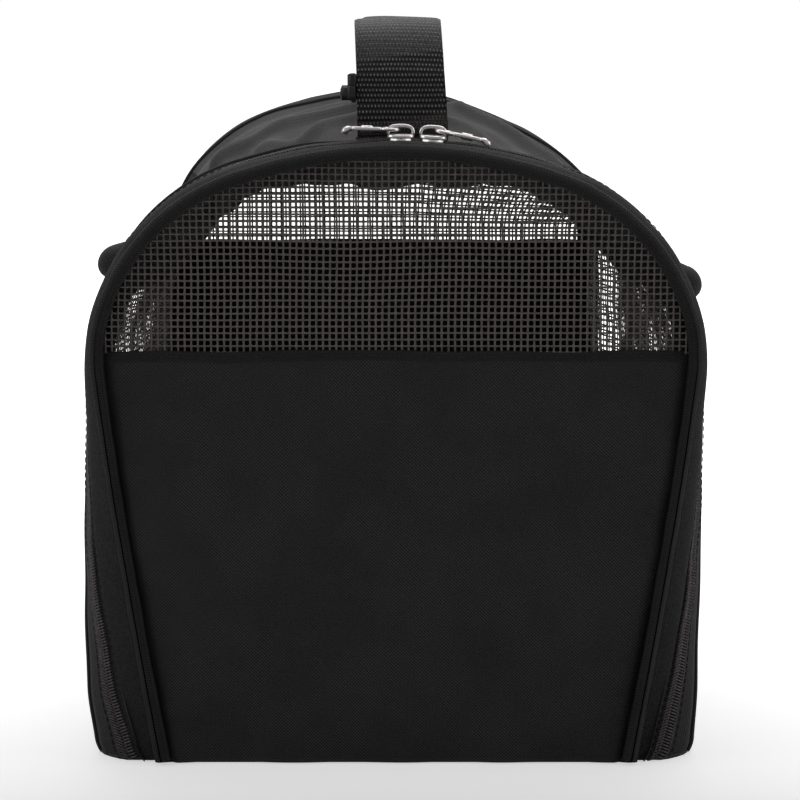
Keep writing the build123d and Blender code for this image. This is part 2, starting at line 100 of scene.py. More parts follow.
# ---- how the cloth departs from the plain arch ------------------------------------------------------
END_FACE_Y = 0.216                                # the bag's two end faces
END_INSET = 0.006
INSET_REACH = 0.020
CORNER_TUCK = 0.0275
TUCK_REACH = 0.037
TUCK_TOP_Z = 0.195
ROOF_SAG = 0.030
DROP_START_Z = 0.190
WALL_DRAW = 0.015
SHOULDER_DRAW = 0.009
SHOULDER_SLUMP = 0.015
WALL_BUCKLE = 0.018
LEFT_BELLY = 0.0050
RIGHT_BELLY = 0.0015
HEM_CURL = 0.002
ZIP_TURN_TOP_Z = 0.150
FLAT_CORNER = ((0.003, 0.885), (0.0164, 0.75), (0.0236, 0.47), (0.031, 0.15), (0.040, 0.0))
SWING = ((0.005, 0.0), (0.0164, 0.0110), (0.0236, 0.0165), (0.037, 0.0175), (0.080, 0.0))
CROWN_LIFT = 0.0026
CROWN_FADE = 0.09                                 # how far from the middle the crown's own shape reaches
FOLD_REACH = 0.13                                 # how far folds run out from a handle foot
ROOF_FOLDS = (                                    # from x, y to x, y, then width and height
    (-0.015, 0.158, -0.118, 0.130, 0.0055, 0.0052),
    (-0.012, 0.140, -0.100, 0.085, 0.0060, 0.0048),
    (0.030, 0.172, 0.112, 0.128, 0.0060, 0.0060),
    (0.020, 0.150, 0.090, 0.080, 0.0060, 0.0045),
    (-0.020, -0.160, -0.110, -0.100, 0.0060, 0.0045),
    (-0.012, -0.150, -0.075, -0.040, 0.0070, 0.0045),
    (0.025, -0.158, 0.105, -0.095, 0.0060, 0.0045),
    (0.012, -0.145, 0.070, -0.030, 0.0070, 0.0045),
)

# ---- cloth ------------------------------------------------------------------------------------------
CLOTH = 0.0016
PADDED = 0.0024
MESH_PITCH = 0.00285
STRAND_WIDTH = 0.00092
STRAND_THICK = 0.00058
STRAND_WEAVE = 0.00010                            # how far strands pass over and under each other
STITCH_LENGTH = 0.0024
STITCH_GAP = 0.0010
STITCH_WIDTH = 0.00055
PIPING_INSET = 0.0056
PANEL_INSET = 0.0094
TAPE_REACH = 0.0062                               # width of a zip tape past the coil
EDGE_RIDGE = 0.0011                               # radius of the ridge where two cloths meet
FLOOR_HALF_LENGTH = 0.2125

# ---- hoops --------------------------------------------------------------------------------------------
HOOP_DEPTH = 0.0062                               # how far below the skin a hoop lies
WIRE_RADIUS = 0.0014
SLEEVE_RADIUS = 0.0033


# ---- arch curve -------------------------------------------------------------------------------------

def unit(vectors):
    return vectors / np.linalg.norm(vectors, axis=-1, keepdims=True)


def walk_length(path):
    """Distance walked along a path up to each of its points."""
    return np.concatenate([[0], np.cumsum(np.linalg.norm(np.diff(path, axis=0), axis=1))])


def arc_points(centre_x, centre_z, radius, angles):
    return np.stack([centre_x + radius * np.sin(angles), centre_z + radius * np.cos(angles)], 1)


def build_arch():
    """Half of the arch from the crown down to the floor: length along it, points and outward normals."""
    crown = arc_points(0.0, CROWN_Z, CROWN_RADIUS, np.linspace(0, CROWN_ANGLE, 300))
    shoulder_turn = np.linspace(CROWN_ANGLE, math.pi / 2 + SIDE_LEAN, 600)[1:]
    shoulder = arc_points(SHOULDER_X, SHOULDER_Z, SHOULDER_RADIUS, shoulder_turn)
    floor = np.array([FLOOR_HALF_WIDTH, 0.0])
    wall = shoulder[-1] + (floor - shoulder[-1]) * np.linspace(0, 1, 300)[1:, None]
    points = np.concatenate([crown, shoulder, wall])
    length = walk_length(points)
    tangent = unit(np.gradient(points, length, axis=0))
    normal = np.stack([-tangent[:, 1], tangent[:, 0]], 1)
    normal *= np.sign(np.sum(normal * (points - [0, 0.1]), 1))[:, None]
    return length, points, normal


ARCH_LENGTH, ARCH_POINTS, ARCH_NORMALS = build_arch()
ARCH_END = ARCH_LENGTH[-1]                        # from the crown to the floor


def arch_at(s):
    """Point and outward normal in XZ at signed arc distance s from the crown, + toward +X."""
    side = np.where(np.asarray(s) < 0, -1.0, 1.0)
    t = np.clip(np.abs(s), 0, ARCH_END)
    x = np.interp(t, ARCH_LENGTH, ARCH_POINTS[:, 0]) * side
    z = np.interp(t, ARCH_LENGTH, ARCH_POINTS[:, 1])
    nx = np.interp(t, ARCH_LENGTH, ARCH_NORMALS[:, 0]) * side
    nz = np.interp(t, ARCH_LENGTH, ARCH_NORMALS[:, 1])
    return x, z, nx, nz


def arc_at_height(z):
    """Arc distance from the crown at which the arch passes a height."""
    return float(np.interp(-z, -ARCH_POINTS[:, 1], ARCH_LENGTH))


def smooth(t):
    """Soft step from 0 to 1."""
    t = np.clip(t, 0, 1)
    return t * t * (3 - 2 * t)


def rise(value, start, width):
    """Soft step up that begins at start."""
    return smooth((value - start) / width)


def fall(value, stop, width):
    """Soft step down that has ended at stop."""
    return smooth((stop - value) / width)


def hump(value, middle, width):
    """Smooth hump, 1 at the middle."""
    return np.exp(-((value - middle) / width) ** 2)


# ---- shape of the cloth skin ------------------------------------------------------------------------

def end_depth(y):
    """Distance in from the nearer end face."""
    return END_FACE_Y - np.abs(y)


def end_inset(y):
    """How far the arch shrinks as it turns over onto an end face."""
    share = (INSET_REACH - end_depth(y)) / (INSET_REACH - 0.003)
    return END_INSET * np.clip(share, 0, 1.2) ** 2.3


def corner_tuck(y, z):
    """How far the lower corners draw in toward the end faces; the zip side turns flatter near the floor."""
    depth = end_depth(y)
    toward_end = np.clip(1 - depth / TUCK_REACH, 0, 1) ** 2.2
    flat_turn = np.interp(depth, *zip(*FLAT_CORNER))
    share = np.where(y < 0, zip_turn(z), 0.0)
    toward_floor = np.clip(1 - z / TUCK_TOP_Z, 0, 1) ** 1.25
    return CORNER_TUCK * toward_floor * (toward_end + (flat_turn - toward_end) * share)


def waves(a, b, count, wavelength, seed):
    """Smooth random field made of plane waves, roughly -1 to 1."""
    rng = np.random.default_rng(seed)
    total = np.zeros(np.broadcast(a, b).shape)
    for _ in range(count):
        angle = rng.uniform(0, 2 * math.pi)
        k = 2 * math.pi / (wavelength * rng.uniform(0.7, 1.5))
        phase = rng.uniform(0, 2 * math.pi)
        total += np.sin(k * (a * math.cos(angle) + b * math.sin(angle)) + phase)
    return total / math.sqrt(count)


def mid_slack(y):
    """How free the cloth is: none over a hoop, full half way between the two."""
    return np.clip(1 - (y / HOOP_Y) ** 2, 0, 1)


def wall_draw(z):
    """How far the unsupported wall draws in, half way between the hoops."""
    wall = WALL_DRAW * rise(z, 0.035, 0.10)
    shoulder = SHOULDER_DRAW * hump(z, 0.221, 0.024)
    return (wall + shoulder) * fall(z, HEIGHT, 0.025)


def shoulder_slump(x, y, z):
    """How far the rear right shoulder has sunk under its own weight."""
    sideways = np.clip((x - 0.014) / 0.086, 0, 1.1) ** 0.8
    return SHOULDER_SLUMP * sideways * rise(z, 0.185, 0.06) * rise(y, -0.02, 0.19)


def wall_belly(x, y, z):
    """Outward sag of the lower walls, stronger on the left."""
    amount = np.where(x < 0, LEFT_BELLY, RIGHT_BELLY)
    upright = (0.5 + 0.5 * smooth(z / 0.03)) * fall(z, 0.2, 0.12)
    return amount * upright * rise(end_depth(y), 0.006, 0.012) * np.clip(np.abs(x) / 0.05, 0, 1)


def wall_buckle(x, y, z):
    """Inward pull of the rear right side, where the slumped corner has folded in."""
    lengthwise = rise(y, 0.095, 0.050)
    upright = rise(z, 0.070, 0.06) * fall(z, 0.240, 0.05)
    return WALL_BUCKLE * lengthwise * upright * np.clip(x / 0.12, 0, 1.1)


def settle(points):
    """Move finished points of an end with the slumped and folded rear right corner."""
    x, y, z = np.moveaxis(points, -1, 0)
    return np.stack([x - wall_buckle(x, y, z), y, z - shoulder_slump(x, y, z)], -1)


def zip_turn(z):
    """Share of the turn toward the door face that the zip line has made at a height."""
    return np.clip(1 - z / ZIP_TURN_TOP_Z, 0, 1)


def zip_swing(y, z):
    """How far the zip line runs forward toward the door face near the floor."""
    return np.interp(END_FACE_Y + y, *zip(*SWING)) * zip_turn(z)


def roof_drop(z):
    """How far the slack roof hangs below the hoops, half way between them."""
    return ROOF_SAG * np.clip((z - DROP_START_Z) / (HEIGHT - DROP_START_Z), 0, 1) ** 1.4


def long_fold(x, y, start, end, width, height):
    """Ridge in the cloth along one line seen from above."""
    dx, dy = end[0] - start[0], end[1] - start[1]
    reach = math.hypot(dx, dy)
    along = ((x - start[0]) * dx + (y - start[1]) * dy) / reach
    bend = 0.004 * np.sin(along / reach * math.pi)
    aside = ((x - start[0]) * dy - (y - start[1]) * dx) / reach + bend
    taper = smooth((along + width) / (2 * width)) * smooth((reach + width - along) / (3 * width))
    return height * np.exp(-(aside / width) ** 2) * taper


def radial_folds(x, y, foot_y, count, seed):
    """Tension folds that fan out from a handle foot."""
    distance = np.hypot(x, y - foot_y)
    angle = np.arctan2(x, y - foot_y)
    rng = np.random.default_rng(seed)
    field = np.zeros(np.broadcast(x, y).shape)
    for _ in range(count):
        centre = rng.uniform(-math.pi, math.pi)
        width = rng.uniform(0.06, 0.15)
        turn = (angle - centre + math.pi) % (2 * math.pi) - math.pi
        field += rng.uniform(0.5, 1.0) * np.exp(-(turn / width) ** 2)
    fade = rise(distance, 0.012, 0.03) * hump(distance, 0, FOLD_REACH)
    return field * fade


def skin_offset(s, y, x, z):
    """Outward bulge of the cloth, in metres: slack, wrinkles, pulls and the ridges over the hoops."""
    along = np.abs(y)
    between_hoops = smooth((HOOP_Y - 0.009 - along) / 0.05)
    roof = rise(z, 0.215, 0.03)
    bulge = 0.0018 * waves(s, y * 1.4, 7, 0.16, 11) * between_hoops
    bulge += 0.0018 * roof * between_hoops * waves(s * 1.6, y * 0.6, 8, 0.055, 12)
    bulge += 0.0006 * waves(s, y, 7, 0.035, 13) * (0.35 + 0.65 * between_hoops)
    inside = smooth((HOOP_Y + 0.002 - along) / 0.010)
    fans = radial_folds(x, y, -HOOP_Y, 9, 21) + radial_folds(x, y, HOOP_Y, 11, 22)
    bulge += 0.0034 * roof * inside * fans
    for x0, y0, x1, y1, width, height in ROOF_FOLDS:
        bulge += roof * inside * long_fold(x, y, (x0, y0), (x1, y1), width, height)
    inner_side = (HOOP_Y - along - 0.013) / 0.006
    hoop_groove = 0.0014 * np.exp(-inner_side ** 2) * (1 + 0.5 * waves(s, s * 0, 5, 0.06, 14))
    return bulge - hoop_groove


def skin(s, y, depth=0.0):
    """Points of the bag's skin at arc distance s and place y, depth below the surface."""
    s, y = np.broadcast_arrays(np.asarray(s, float), np.asarray(y, float))
    x, z, nx, nz = arch_at(s)
    hem_curl = HEM_CURL * np.clip(1 - z / 0.006, 0, 1) ** 2
    crown = 1 - 0.45 * hump(x, 0, CROWN_FADE)
    out = skin_offset(s, y, x, z) - end_inset(y) * crown - depth - hem_curl
    slack = mid_slack(y)
    inward = corner_tuck(y, z) - wall_belly(x, y, z) + wall_draw(z) * slack + wall_buckle(x, y, z)
    y = y - zip_swing(y, z)
    px = x + nx * out - np.sign(x) * inward
    pz = z + nz * out - roof_drop(z) * slack - shoulder_slump(px, y, z)
    return np.stack([px, y, pz], -1)


# ---- mesh helpers -----------------------------------------------------------------------------------

def make_object(name, verts, faces, material, uvs, smooth_shade=True):
    """One mesh object from arrays; uvs are per vertex, in metres along the cloth."""
    mesh = bpy.data.meshes.new(name)
    verts = np.asarray(verts, float).reshape(-1, 3)
    mesh.from_pydata(verts.tolist(), [], [list(map(int, f)) for f in faces])
    layer = mesh.uv_layers.new(name="UVMap")
    loops = np.zeros(len(mesh.loops), dtype=np.int64)
    mesh.loops.foreach_get("vertex_index", loops)
    layer.data.foreach_set("uv", np.asarray(uvs, float).reshape(-1, 2)[loops].ravel())
    mesh.polygons.foreach_set("use_smooth", [smooth_shade] * len(mesh.polygons))
    mesh.materials.append(material)
    mesh.update()
    thing = bpy.data.objects.new(name, mesh)
    bpy.context.scene.collection.objects.link(thing)
    return thing


def merge(parts):
    """Join (verts, faces, uvs) triples into one."""
    verts, faces, uvs = [], [], []
    start = 0
    for part_verts, part_faces, part_uvs in parts:
        part_verts = np.asarray(part_verts).reshape(-1, 3)
        verts.append(part_verts)
        faces.extend([[start + i for i in f] for f in part_faces])
        uvs.append(np.asarray(part_uvs).reshape(-1, 2))
        start += len(part_verts)
    return np.concatenate(verts), faces, np.concatenate(uvs)


def grid_normals(points):
    """Unit normals of a grid of points, from its neighbours."""
    du = np.gradient(points, axis=0)
    dv = np.gradient(points, axis=1)
    normal = np.cross(du, dv)
    return normal / np.maximum(np.linalg.norm(normal, axis=-1, keepdims=True), 1e-12)


def used_only(verts, faces, uvs):
    """Drop the points that no face uses."""
    used = np.unique(faces)
    remap = np.zeros(len(verts), int)
    remap[used] = np.arange(len(used))
    return verts[used], remap[faces].tolist(), uvs[used]


def grid_quads(index):
    """Faces between neighbouring points of a grid of point numbers, as an array of cells."""
    return np.stack([index[:-1, :-1], index[1:, :-1], index[1:, 1:], index[:-1, 1:]], -1)


def sheet(points, thickness, uv, outward, keep=None):
    """Closed thin sheet: the outer face at the grid, the inner face thickness below it.

    outward is a vector field the normal should agree with; keep marks the grid cells that exist."""
    rows, cols = points.shape[:2]
    if keep is None:
        keep = np.ones((rows - 1, cols - 1), bool)
    plain_normal = grid_normals(points)
    normal = plain_normal * np.sign(np.sum(plain_normal * outward, -1, keepdims=True))
    flip = np.sum(plain_normal[rows // 2, cols // 2] * normal[rows // 2, cols // 2]) < 0
    verts = np.concatenate([points.reshape(-1, 3), (points - normal * thickness).reshape(-1, 3)])
    uvs = np.tile(uv.reshape(-1, 2), (2, 1))
    below = rows * cols
    index = np.arange(below).reshape(rows, cols)
    top = grid_quads(index)[keep]
    faces = [top, top[:, [0, 3, 2, 1]] + below]
    padded = np.pad(keep, 1)
    i, j = np.nonzero(keep)
    for di, dj, first, second in (
        (-1, 0, (0, 1), (0, 0)), (1, 0, (1, 0), (1, 1)), (0, -1, (0, 0), (1, 0)), (0, 1, (1, 1), (0, 1)),
    ):
        open_side = ~padded[i + 1 + di, j + 1 + dj]
        p, q = (index[i[open_side] + a, j[open_side] + b] for a, b in (first, second))
        faces.append(np.stack([p, q, q + below, p + below], 1))
    faces = np.concatenate(faces)
    if flip:
        faces = faces[:, ::-1]
    return used_only(verts, faces, uvs)


def ring_faces(rings, sides, closed=False):
    """Four-sided faces between neighbouring rings of points."""
    faces = []
    for i in range(rings if closed else rings - 1):
        j = (i + 1) % rings
        for k in range(sides):
            m = (k + 1) % sides
            faces.append([i * sides + k, i * sides + m, j * sides + m, j * sides + k])
    return faces


def ring_ends(rings, sides):
    """Faces that close the first and the last ring."""
    return [list(range(sides))[::-1], [(rings - 1) * sides + k for k in range(sides)]]


def tube(path, radius, sides=12, closed=False, flatten=1.0, up=(0, 0, 1)):
    """Tube along a path. radius may vary along it; flatten scales the cross direction set by up."""
    path = np.asarray(path, float)
    count = len(path)
    radius = np.broadcast_to(np.asarray(radius, float), (count,))
    if closed:
        tangent = unit(np.roll(path, -1, 0) - np.roll(path, 1, 0))
    else:
        tangent = unit(np.gradient(path, axis=0))
    normal = np.zeros_like(path)
    previous = np.asarray(up, float)
    for i in range(count):
        n = previous - tangent[i] * np.dot(previous, tangent[i])
        normal[i] = n / max(np.linalg.norm(n), 1e-9)
        previous = normal[i]
    binormal = np.cross(tangent, normal)
    angles = np.linspace(0, 2 * math.pi, sides, endpoint=False)
    ring = (
        path[:, None, :]
        + normal[:, None, :] * (np.cos(angles)[None, :, None] * radius[:, None, None] * flatten)
        + binormal[:, None, :] * (np.sin(angles)[None, :, None] * radius[:, None, None])
    )
    around = angles * float(np.mean(radius))
    uv = np.stack(np.meshgrid(walk_length(path), around, indexing="ij"), -1)
    faces = [[a, d, c, b] for a, b, c, d in ring_faces(count, sides, closed)]
    if not closed:
        faces += [face[::-1] for face in ring_ends(count, sides)]
    return ring.reshape(-1, 3), faces, uv.reshape(-1, 2)


def ribbon(path, width, thickness):
    """Flat strap along a path, its width along Y, with rounded edges."""
    across = np.array([0.0, 1.0, 0.0])
    normal = np.cross(unit(np.gradient(path, axis=0)), across)
    half, deep = width / 2, thickness / 2
    flat = half - deep * 0.4
    lower = [(-half, -deep * 0.35), (-flat, -deep), (flat, -deep), (half, -deep * 0.35)]
    profile = np.array(lower + [(place, -level) for place, level in reversed(lower)])
    ring = path[:, None] + across * profile[:, :1] + normal[:, None] * profile[:, 1:]
    rings, sides = ring.shape[:2]
    uv = np.stack(np.broadcast_arrays(walk_length(path)[:, None], profile[:, 0]), -1)
    return ring.reshape(-1, 3), ring_faces(rings, sides) + ring_ends(rings, sides), uv.reshape(-1, 2)


def many_blocks(centres, along, across, up, size, corner=0.25):
    """Many small rounded blocks at once, each a six-sided pillow: stitches and zip elements."""
    length, width, height = size
    rings = []
    for share, scale in ((-0.5, 0.45), (-0.5 + corner, 1.0), (0.5 - corner, 1.0), (0.5, 0.45)):
        ring = []
        for angle in np.linspace(0, 2 * math.pi, 6, endpoint=False):
            aside = across * (math.cos(angle) * width / 2 * scale)
            above = up * (math.sin(angle) * height / 2 * scale)
            ring.append(centres + along * (length * share) + aside + above)
        rings.append(np.stack(ring, 1))
    verts = np.stack(rings, 1)
    count = len(centres)
    offsets = (np.arange(count) * 24)[:, None, None]
    faces = (np.array(ring_faces(4, 6)) + offsets).reshape(-1, 4).tolist()
    faces += (np.array(ring_ends(4, 6)) + offsets).reshape(-1, 6).tolist()
    uv = np.zeros((count * 24, 2))
    uv[:, 0] = np.repeat(np.arange(count) * 0.0013, 24)
    return verts.reshape(-1, 3), faces, uv


# ---- materials --------------------------------------------------------------------------------------

class Value:
    """One quantity inside a node tree; ordinary arithmetic on it adds the nodes that work it out."""

    def __init__(self, nodes, socket):
        self.nodes = nodes
        self.socket = socket

    def __add__(self, other):
        return self.nodes.math("ADD", self, other)

    def __mul__(self, other):
        return self.nodes.math("MULTIPLY", self, other)

    def __sub__(self, other):
        return self.nodes.math("SUBTRACT", self, other)

    def __rsub__(self, other):
        return self.nodes.math("SUBTRACT", other, self)

    def __pow__(self, power):
        return self.nodes.math("POWER", self, power)

    __radd__ = __add__
    __rmul__ = __mul__

    def size(self):
        return self.nodes.math("ABSOLUTE", self)

    def floor(self):
        return self.nodes.math("FLOOR", self)

    def odd(self):
        """1 on odd whole numbers and 0 on even ones."""
        return self.nodes.math("MODULO", self.size(), 2.0)

    def sine(self):
        return self.nodes.math("SINE", self)

    def cosine(self):
        return self.nodes.math("COSINE", self)

    def ridges(self):
        """Rounded ridges, one to each half turn."""
        return self.sine().size()


class Nodes:
    """Short way of writing one material's node tree."""

    def __init__(self, name):
        self.material = bpy.data.materials.new(name)
        self.material.use_nodes = True
        self.tree = self.material.node_tree
        self.bsdf = self.tree.nodes["Principled BSDF"]

    def new(self, kind, **settings):
        node = self.tree.nodes.new(kind)
        for key, value in settings.items():
            setattr(node, key, value)
        return node

    def put(self, value, socket):
        if isinstance(value, Value):
            self.tree.links.new(value.socket, socket)
        else:
            socket.default_value = value

    def math(self, operation, *values):
        node = self.new("ShaderNodeMath", operation=operation)
        for value, socket in zip(values, node.inputs):
            self.put(value, socket)
        return Value(self, node.outputs[0])

    def mix(self, share, first, second):
        """Blend of two colours."""
        node = self.new("ShaderNodeMix", data_type="RGBA")
        for value, socket in ((share, 0), (first, 6), (second, 7)):
            self.put(value, node.inputs[socket])
        return Value(self, node.outputs[2])

    def place(self, axis):
        """Coordinate along one axis of the object."""
        split = self.new("ShaderNodeSeparateXYZ")
        self.tree.links.new(self.new("ShaderNodeTexCoord").outputs["Object"], split.inputs[0])
        return Value(self, split.outputs[axis])

    def noise(self, scale, detail=3.0, rough=0.5):
        node = self.new("ShaderNodeTexNoise")
        self.tree.links.new(self.new("ShaderNodeTexCoord").outputs["Object"], node.inputs["Vector"])
        for value, socket in ((scale, "Scale"), (detail, "Detail"), (rough, "Roughness")):
            node.inputs[socket].default_value = value
        return Value(self, node.outputs["Fac"])

    def range(self, value, low, high, to_low=0.0, to_high=1.0):
        node = self.new("ShaderNodeMapRange")
        for item, socket in zip((value, low, high, to_low, to_high), node.inputs):
            self.put(item, socket)
        return Value(self, node.outputs[0])

    def uv(self):
        split = self.new("ShaderNodeSeparateXYZ")
        self.tree.links.new(self.new("ShaderNodeUVMap", uv_map="UVMap").outputs[0], split.inputs[0])
        return Value(self, split.outputs[0]), Value(self, split.outputs[1])

    def bump(self, height, distance, strength=1.0, under=None):
        node = self.new("ShaderNodeBump")
        node.inputs["Strength"].default_value = strength
        node.inputs["Distance"].default_value = distance
        self.put(height, node.inputs["Height"])
        if under is not None:
            self.put(under, node.inputs["Normal"])
        return Value(self, node.outputs[0])

    def surface(self, colour, roughness, normal, metallic=0.0, specular=0.5, sheen=0.0, coat=0.0):
        settings = {
            "Base Color": colour, "Roughness": roughness, "Normal": normal, "Metallic": metallic,
            "Specular IOR Level": specular, "Sheen Weight": sheen, "Sheen Roughness": 0.45,
            "Coat Weight": coat, "Coat Roughness": 0.25,
        }
        for name, value in settings.items():
            self.put(value, self.bsdf.inputs[name])
        return self.material


def grey(value, warm=0.0):
    """Grey of a given lightness, tinted towards a warm brown by warm."""
    return (value * (1 + warm), value * (1 - 0.4 * warm), value * (1 - 0.6 * warm), 1.0)


def greys(n, share, dark, light, warm=0.0):
    """Colour between two greys."""
    return n.mix(share, grey(dark, warm), grey(light, warm))


def painted_seam_shade(n, seam):
    """Factor for painted shade: 1 on open cloth, falling to 0 where shade falls in a seam, and only on the
    upright legs of an end.
    """
    leg = n.range(n.place(2), 0.16, 0.23, 1.0, 0.0)
    return 1.0 - seam * leg


def cloth_surface(n, shade, height, patch, dark, light, rough=0.78, sheen=0.06, specular=0.25):
    """Finish shared by the woven cloths: a fine weave over slubs, shinier where it is worn."""
    fine = n.bump(height, 0.00022, 0.85)
    slub = n.bump(n.noise(330.0, 2.0), 0.00025, 0.35, under=fine)
    roughness = n.range(patch, 0.0, 1.0, rough - 0.05, rough + 0.06)
    colour = greys(n, shade, dark, light, CLOTH_WARMTH)
    return n.surface(colour, roughness, slub, sheen=sheen, specular=specular)


def plain_weave(n, pitch):
    """Over-and-under height of a plain weave, 0 to 1, and a random value per yarn crossing."""
    u, v = n.uv()
    u = u * (1 / pitch)
    v = v * (1 / (pitch * 0.9))
    checker = (u.floor() + v.floor()).odd()
    warp = (u * math.pi).ridges()
    weft = (v * math.pi).ridges()
    height = warp * weft ** 0.4 * checker + weft * warp ** 0.4 * (1.0 - checker) * 0.8
    cell = n.new("ShaderNodeCombineXYZ")
    n.put(u.floor(), cell.inputs[0])
    n.put(v.floor(), cell.inputs[1])
    fleck = n.new("ShaderNodeTexWhiteNoise", noise_dimensions="2D")
    n.tree.links.new(cell.outputs[0], fleck.inputs["Vector"])
    return height, Value(n, fleck.outputs["Value"])


def woven_cloth(name, dark, light, pitch=0.00062, rough=0.78, sheen=0.25, seam=None):
    """Woven polyester: crossing yarns, uneven yarn shade and faint wear.

    seam is how far in from the piping the painted shade of the seam beside it reaches; there the colour is
    darker and the specular and sheen weaker."""
    n = Nodes(name)
    height, fleck = plain_weave(n, pitch)
    patch = n.range(n.noise(22.0, 4.0, 0.6), 0.3, 0.7)
    shade = (fleck * 0.55 + patch * 0.45) * n.range(height, 0.0, 0.9, 0.35, 1.0)
    specular = 0.35
    if seam is not None:
        # painted shade in the seam beside the piping, which also dims the specular and the sheen
        edge = n.range(n.uv()[0].size(), PIPING_Y - seam - 0.0018, PIPING_Y - seam)
        outside_painted_shade = painted_seam_shade(n, edge)
        shade = shade * outside_painted_shade
        specular = outside_painted_shade * specular
        sheen = outside_painted_shade * sheen
    return cloth_surface(n, shade, height, patch, dark, light, rough, sheen, specular)


def fine_twill(name, dark, light):
    """Fine twill: thin ribs falling to the right, crossed by fainter ones, clearer in some places."""
    n = Nodes(name)
    turns = math.pi / 0.0015
    u, v = n.uv()
    u = u * turns
    v = v * turns
    height = (u + v).ridges() * (0.6 + (u - v).ridges() * 0.4)
    clear = n.range(n.noise(45.0, 2.0), 0.40, 0.62, 0.45, 1.0)
    rib = 0.5 + (height - 0.5) * clear
    patch = n.range(n.noise(22.0, 4.0, 0.6), 0.3, 0.7)
    fleck = n.range(n.noise(1500.0, 2.0), 0.35, 0.65)
    shade = rib ** 2.2 * 1.30 + patch * 0.15 + fleck * 0.20
    return cloth_surface(n, shade, height, patch, dark, light)


def piping_twill(name, dark, light):
    """Coarse twill whose diagonal ribs change direction from row to row, with painted shade on the sides of
    the cord, where it meets the seams beside it, on the upright legs.
    """
    n = Nodes(name)
    pitch = 0.0012
    u, v = n.uv()
    row = v * (0.62 / pitch)
    diagonal = u * (1 / pitch) + n.math("PINGPONG", row, 1.0) * 0.9
    groove = (row * math.pi).ridges() ** 0.4
    height = (diagonal * math.pi).ridges() * (0.4 + groove * 0.6)
    shade = height ** 1.6 * n.range(n.noise(60.0), 0.3, 0.7, 0.6, 1.0)
    # painted shade: on the upright legs the cord's sides, turned away from the front of the end, are darker
    # and less shiny
    facing = (v * (1 / PIPING_RADIUS)).cosine()
    outside_painted_shade = painted_seam_shade(n, n.range(facing, 0.10, 0.66, 0.95, 0.0))
    colour = greys(n, shade * outside_painted_shade, dark, light, CLOTH_WARMTH)
    fine = n.bump(height, 0.00045)
    return n.surface(colour, 0.75, fine, sheen=outside_painted_shade * 0.08, specular=outside_painted_shade * 0.3)


def ribbed_tape(name, dark, light, pitch=0.0010):
    """Flat tape with ribs across its length."""
    n = Nodes(name)
    u, v = n.uv()
    thread = (v * (math.pi / (pitch * 0.55))).ridges()
    height = (u * (math.pi / pitch)).ridges() * (0.55 + thread * 0.45)
    shade = height * n.range(n.noise(90.0), 0.3, 0.7, 0.5, 1.0)
    fine = n.bump(height, 0.00022, 0.9)
    return n.surface(greys(n, shade, dark, light), 0.8, fine, sheen=0.2, specular=0.35)


def webbing_weave(name, dark, light):
    """Heavy webbing: rows of small raised floats on the legs, closer weave at the bend and the foot."""
    n = Nodes(name)
    row_pitch, float_pitch = 0.0022, 0.0015
    u, v = n.uv()
    along = u * (1 / row_pitch)
    across = v * (1 / float_pitch) + along.floor().odd() * 0.5
    bead = 0.5 + (across * (2 * math.pi)).cosine() * 0.5
    arch = (n.math("FRACT", along) * math.pi).sine()
    raised = bead ** 1.6 * arch ** 2.2
    thread = (across * (3 * math.pi)).ridges()
    level = n.place(2) - n.place(0) * 0.14
    below_bend = n.range(level, STRAP_TOP_Z - 0.0170, STRAP_TOP_Z - 0.0150, 1.0, 0.0)
    above_foot = n.range(level, HEIGHT + 0.0070, HEIGHT + 0.0095, 0.0, 1.0)
    leg = below_bend * above_foot
    wear = n.range(n.noise(420.0, 2.0), 0.35, 0.7, 0.45, 1.0)
    floats = n.range(raised, 0.30, 0.85) * wear + arch * thread * 0.05
    close = bead * 0.5 + (along * (2 * math.pi)).ridges() * 0.5
    close = close * n.range(n.noise(1600.0, 2.0), 0.35, 0.65, 0.12, 0.45)
    shade = floats * leg + close * (1.0 - leg)
    height = (raised + arch * 0.45 + thread * 0.10) * n.range(leg, 0.0, 1.0, 0.25, 1.0)
    colour = greys(n, shade, dark, light, 0.04)
    return n.surface(colour, 0.62, n.bump(height, 0.00050), sheen=0.06, specular=0.35)


def coated_strand(name):
    """Glossy coated mesh strand, slightly uneven."""
    n = Nodes(name)
    patch = n.range(n.noise(400.0), 0.3, 0.7)
    roughness = n.range(n.noise(900.0, 2.0), 0.3, 0.7, 0.26, 0.42)
    fine = n.bump(n.noise(1300.0, 2.0), 0.00012, 0.6)
    return n.surface(greys(n, patch, 0.055, 0.110, 0.14), roughness, fine, specular=0.6, coat=0.35)


def nylon_coil(name):
    """Smooth nylon, a little lighter than the cloth."""
    n = Nodes(name)
    patch = n.range(n.noise(700.0, 2.0), 0.3, 0.7)
    return n.surface(greys(n, patch, 0.030, 0.100, 0.10), 0.38, n.bump(n.noise(1500.0, 2.0), 0.0001, 0.4))


def plated_metal(name):
    """Polished nickel plate with faint wear."""
    n = Nodes(name)
    wear = n.range(n.noise(260.0, 4.0), 0.4, 0.75)
    colour = n.mix(wear, grey(0.98, 0.03), grey(0.86, 0.05))
    roughness = n.range(n.noise(900.0), 0.3, 0.7, 0.24, 0.42)
    return n.surface(colour, roughness, n.bump(n.noise(600.0, 2.0), 0.00006, 0.3), metallic=1.0)


def blackened_metal(name):
    """Dark coated metal."""
    n = Nodes(name)
    wear = n.range(n.noise(700.0), 0.45, 0.75)
    return n.surface(greys(n, wear, 0.012, 0.03), 0.6, n.bump(wear, 0.00005, 0.3), metallic=0.3)


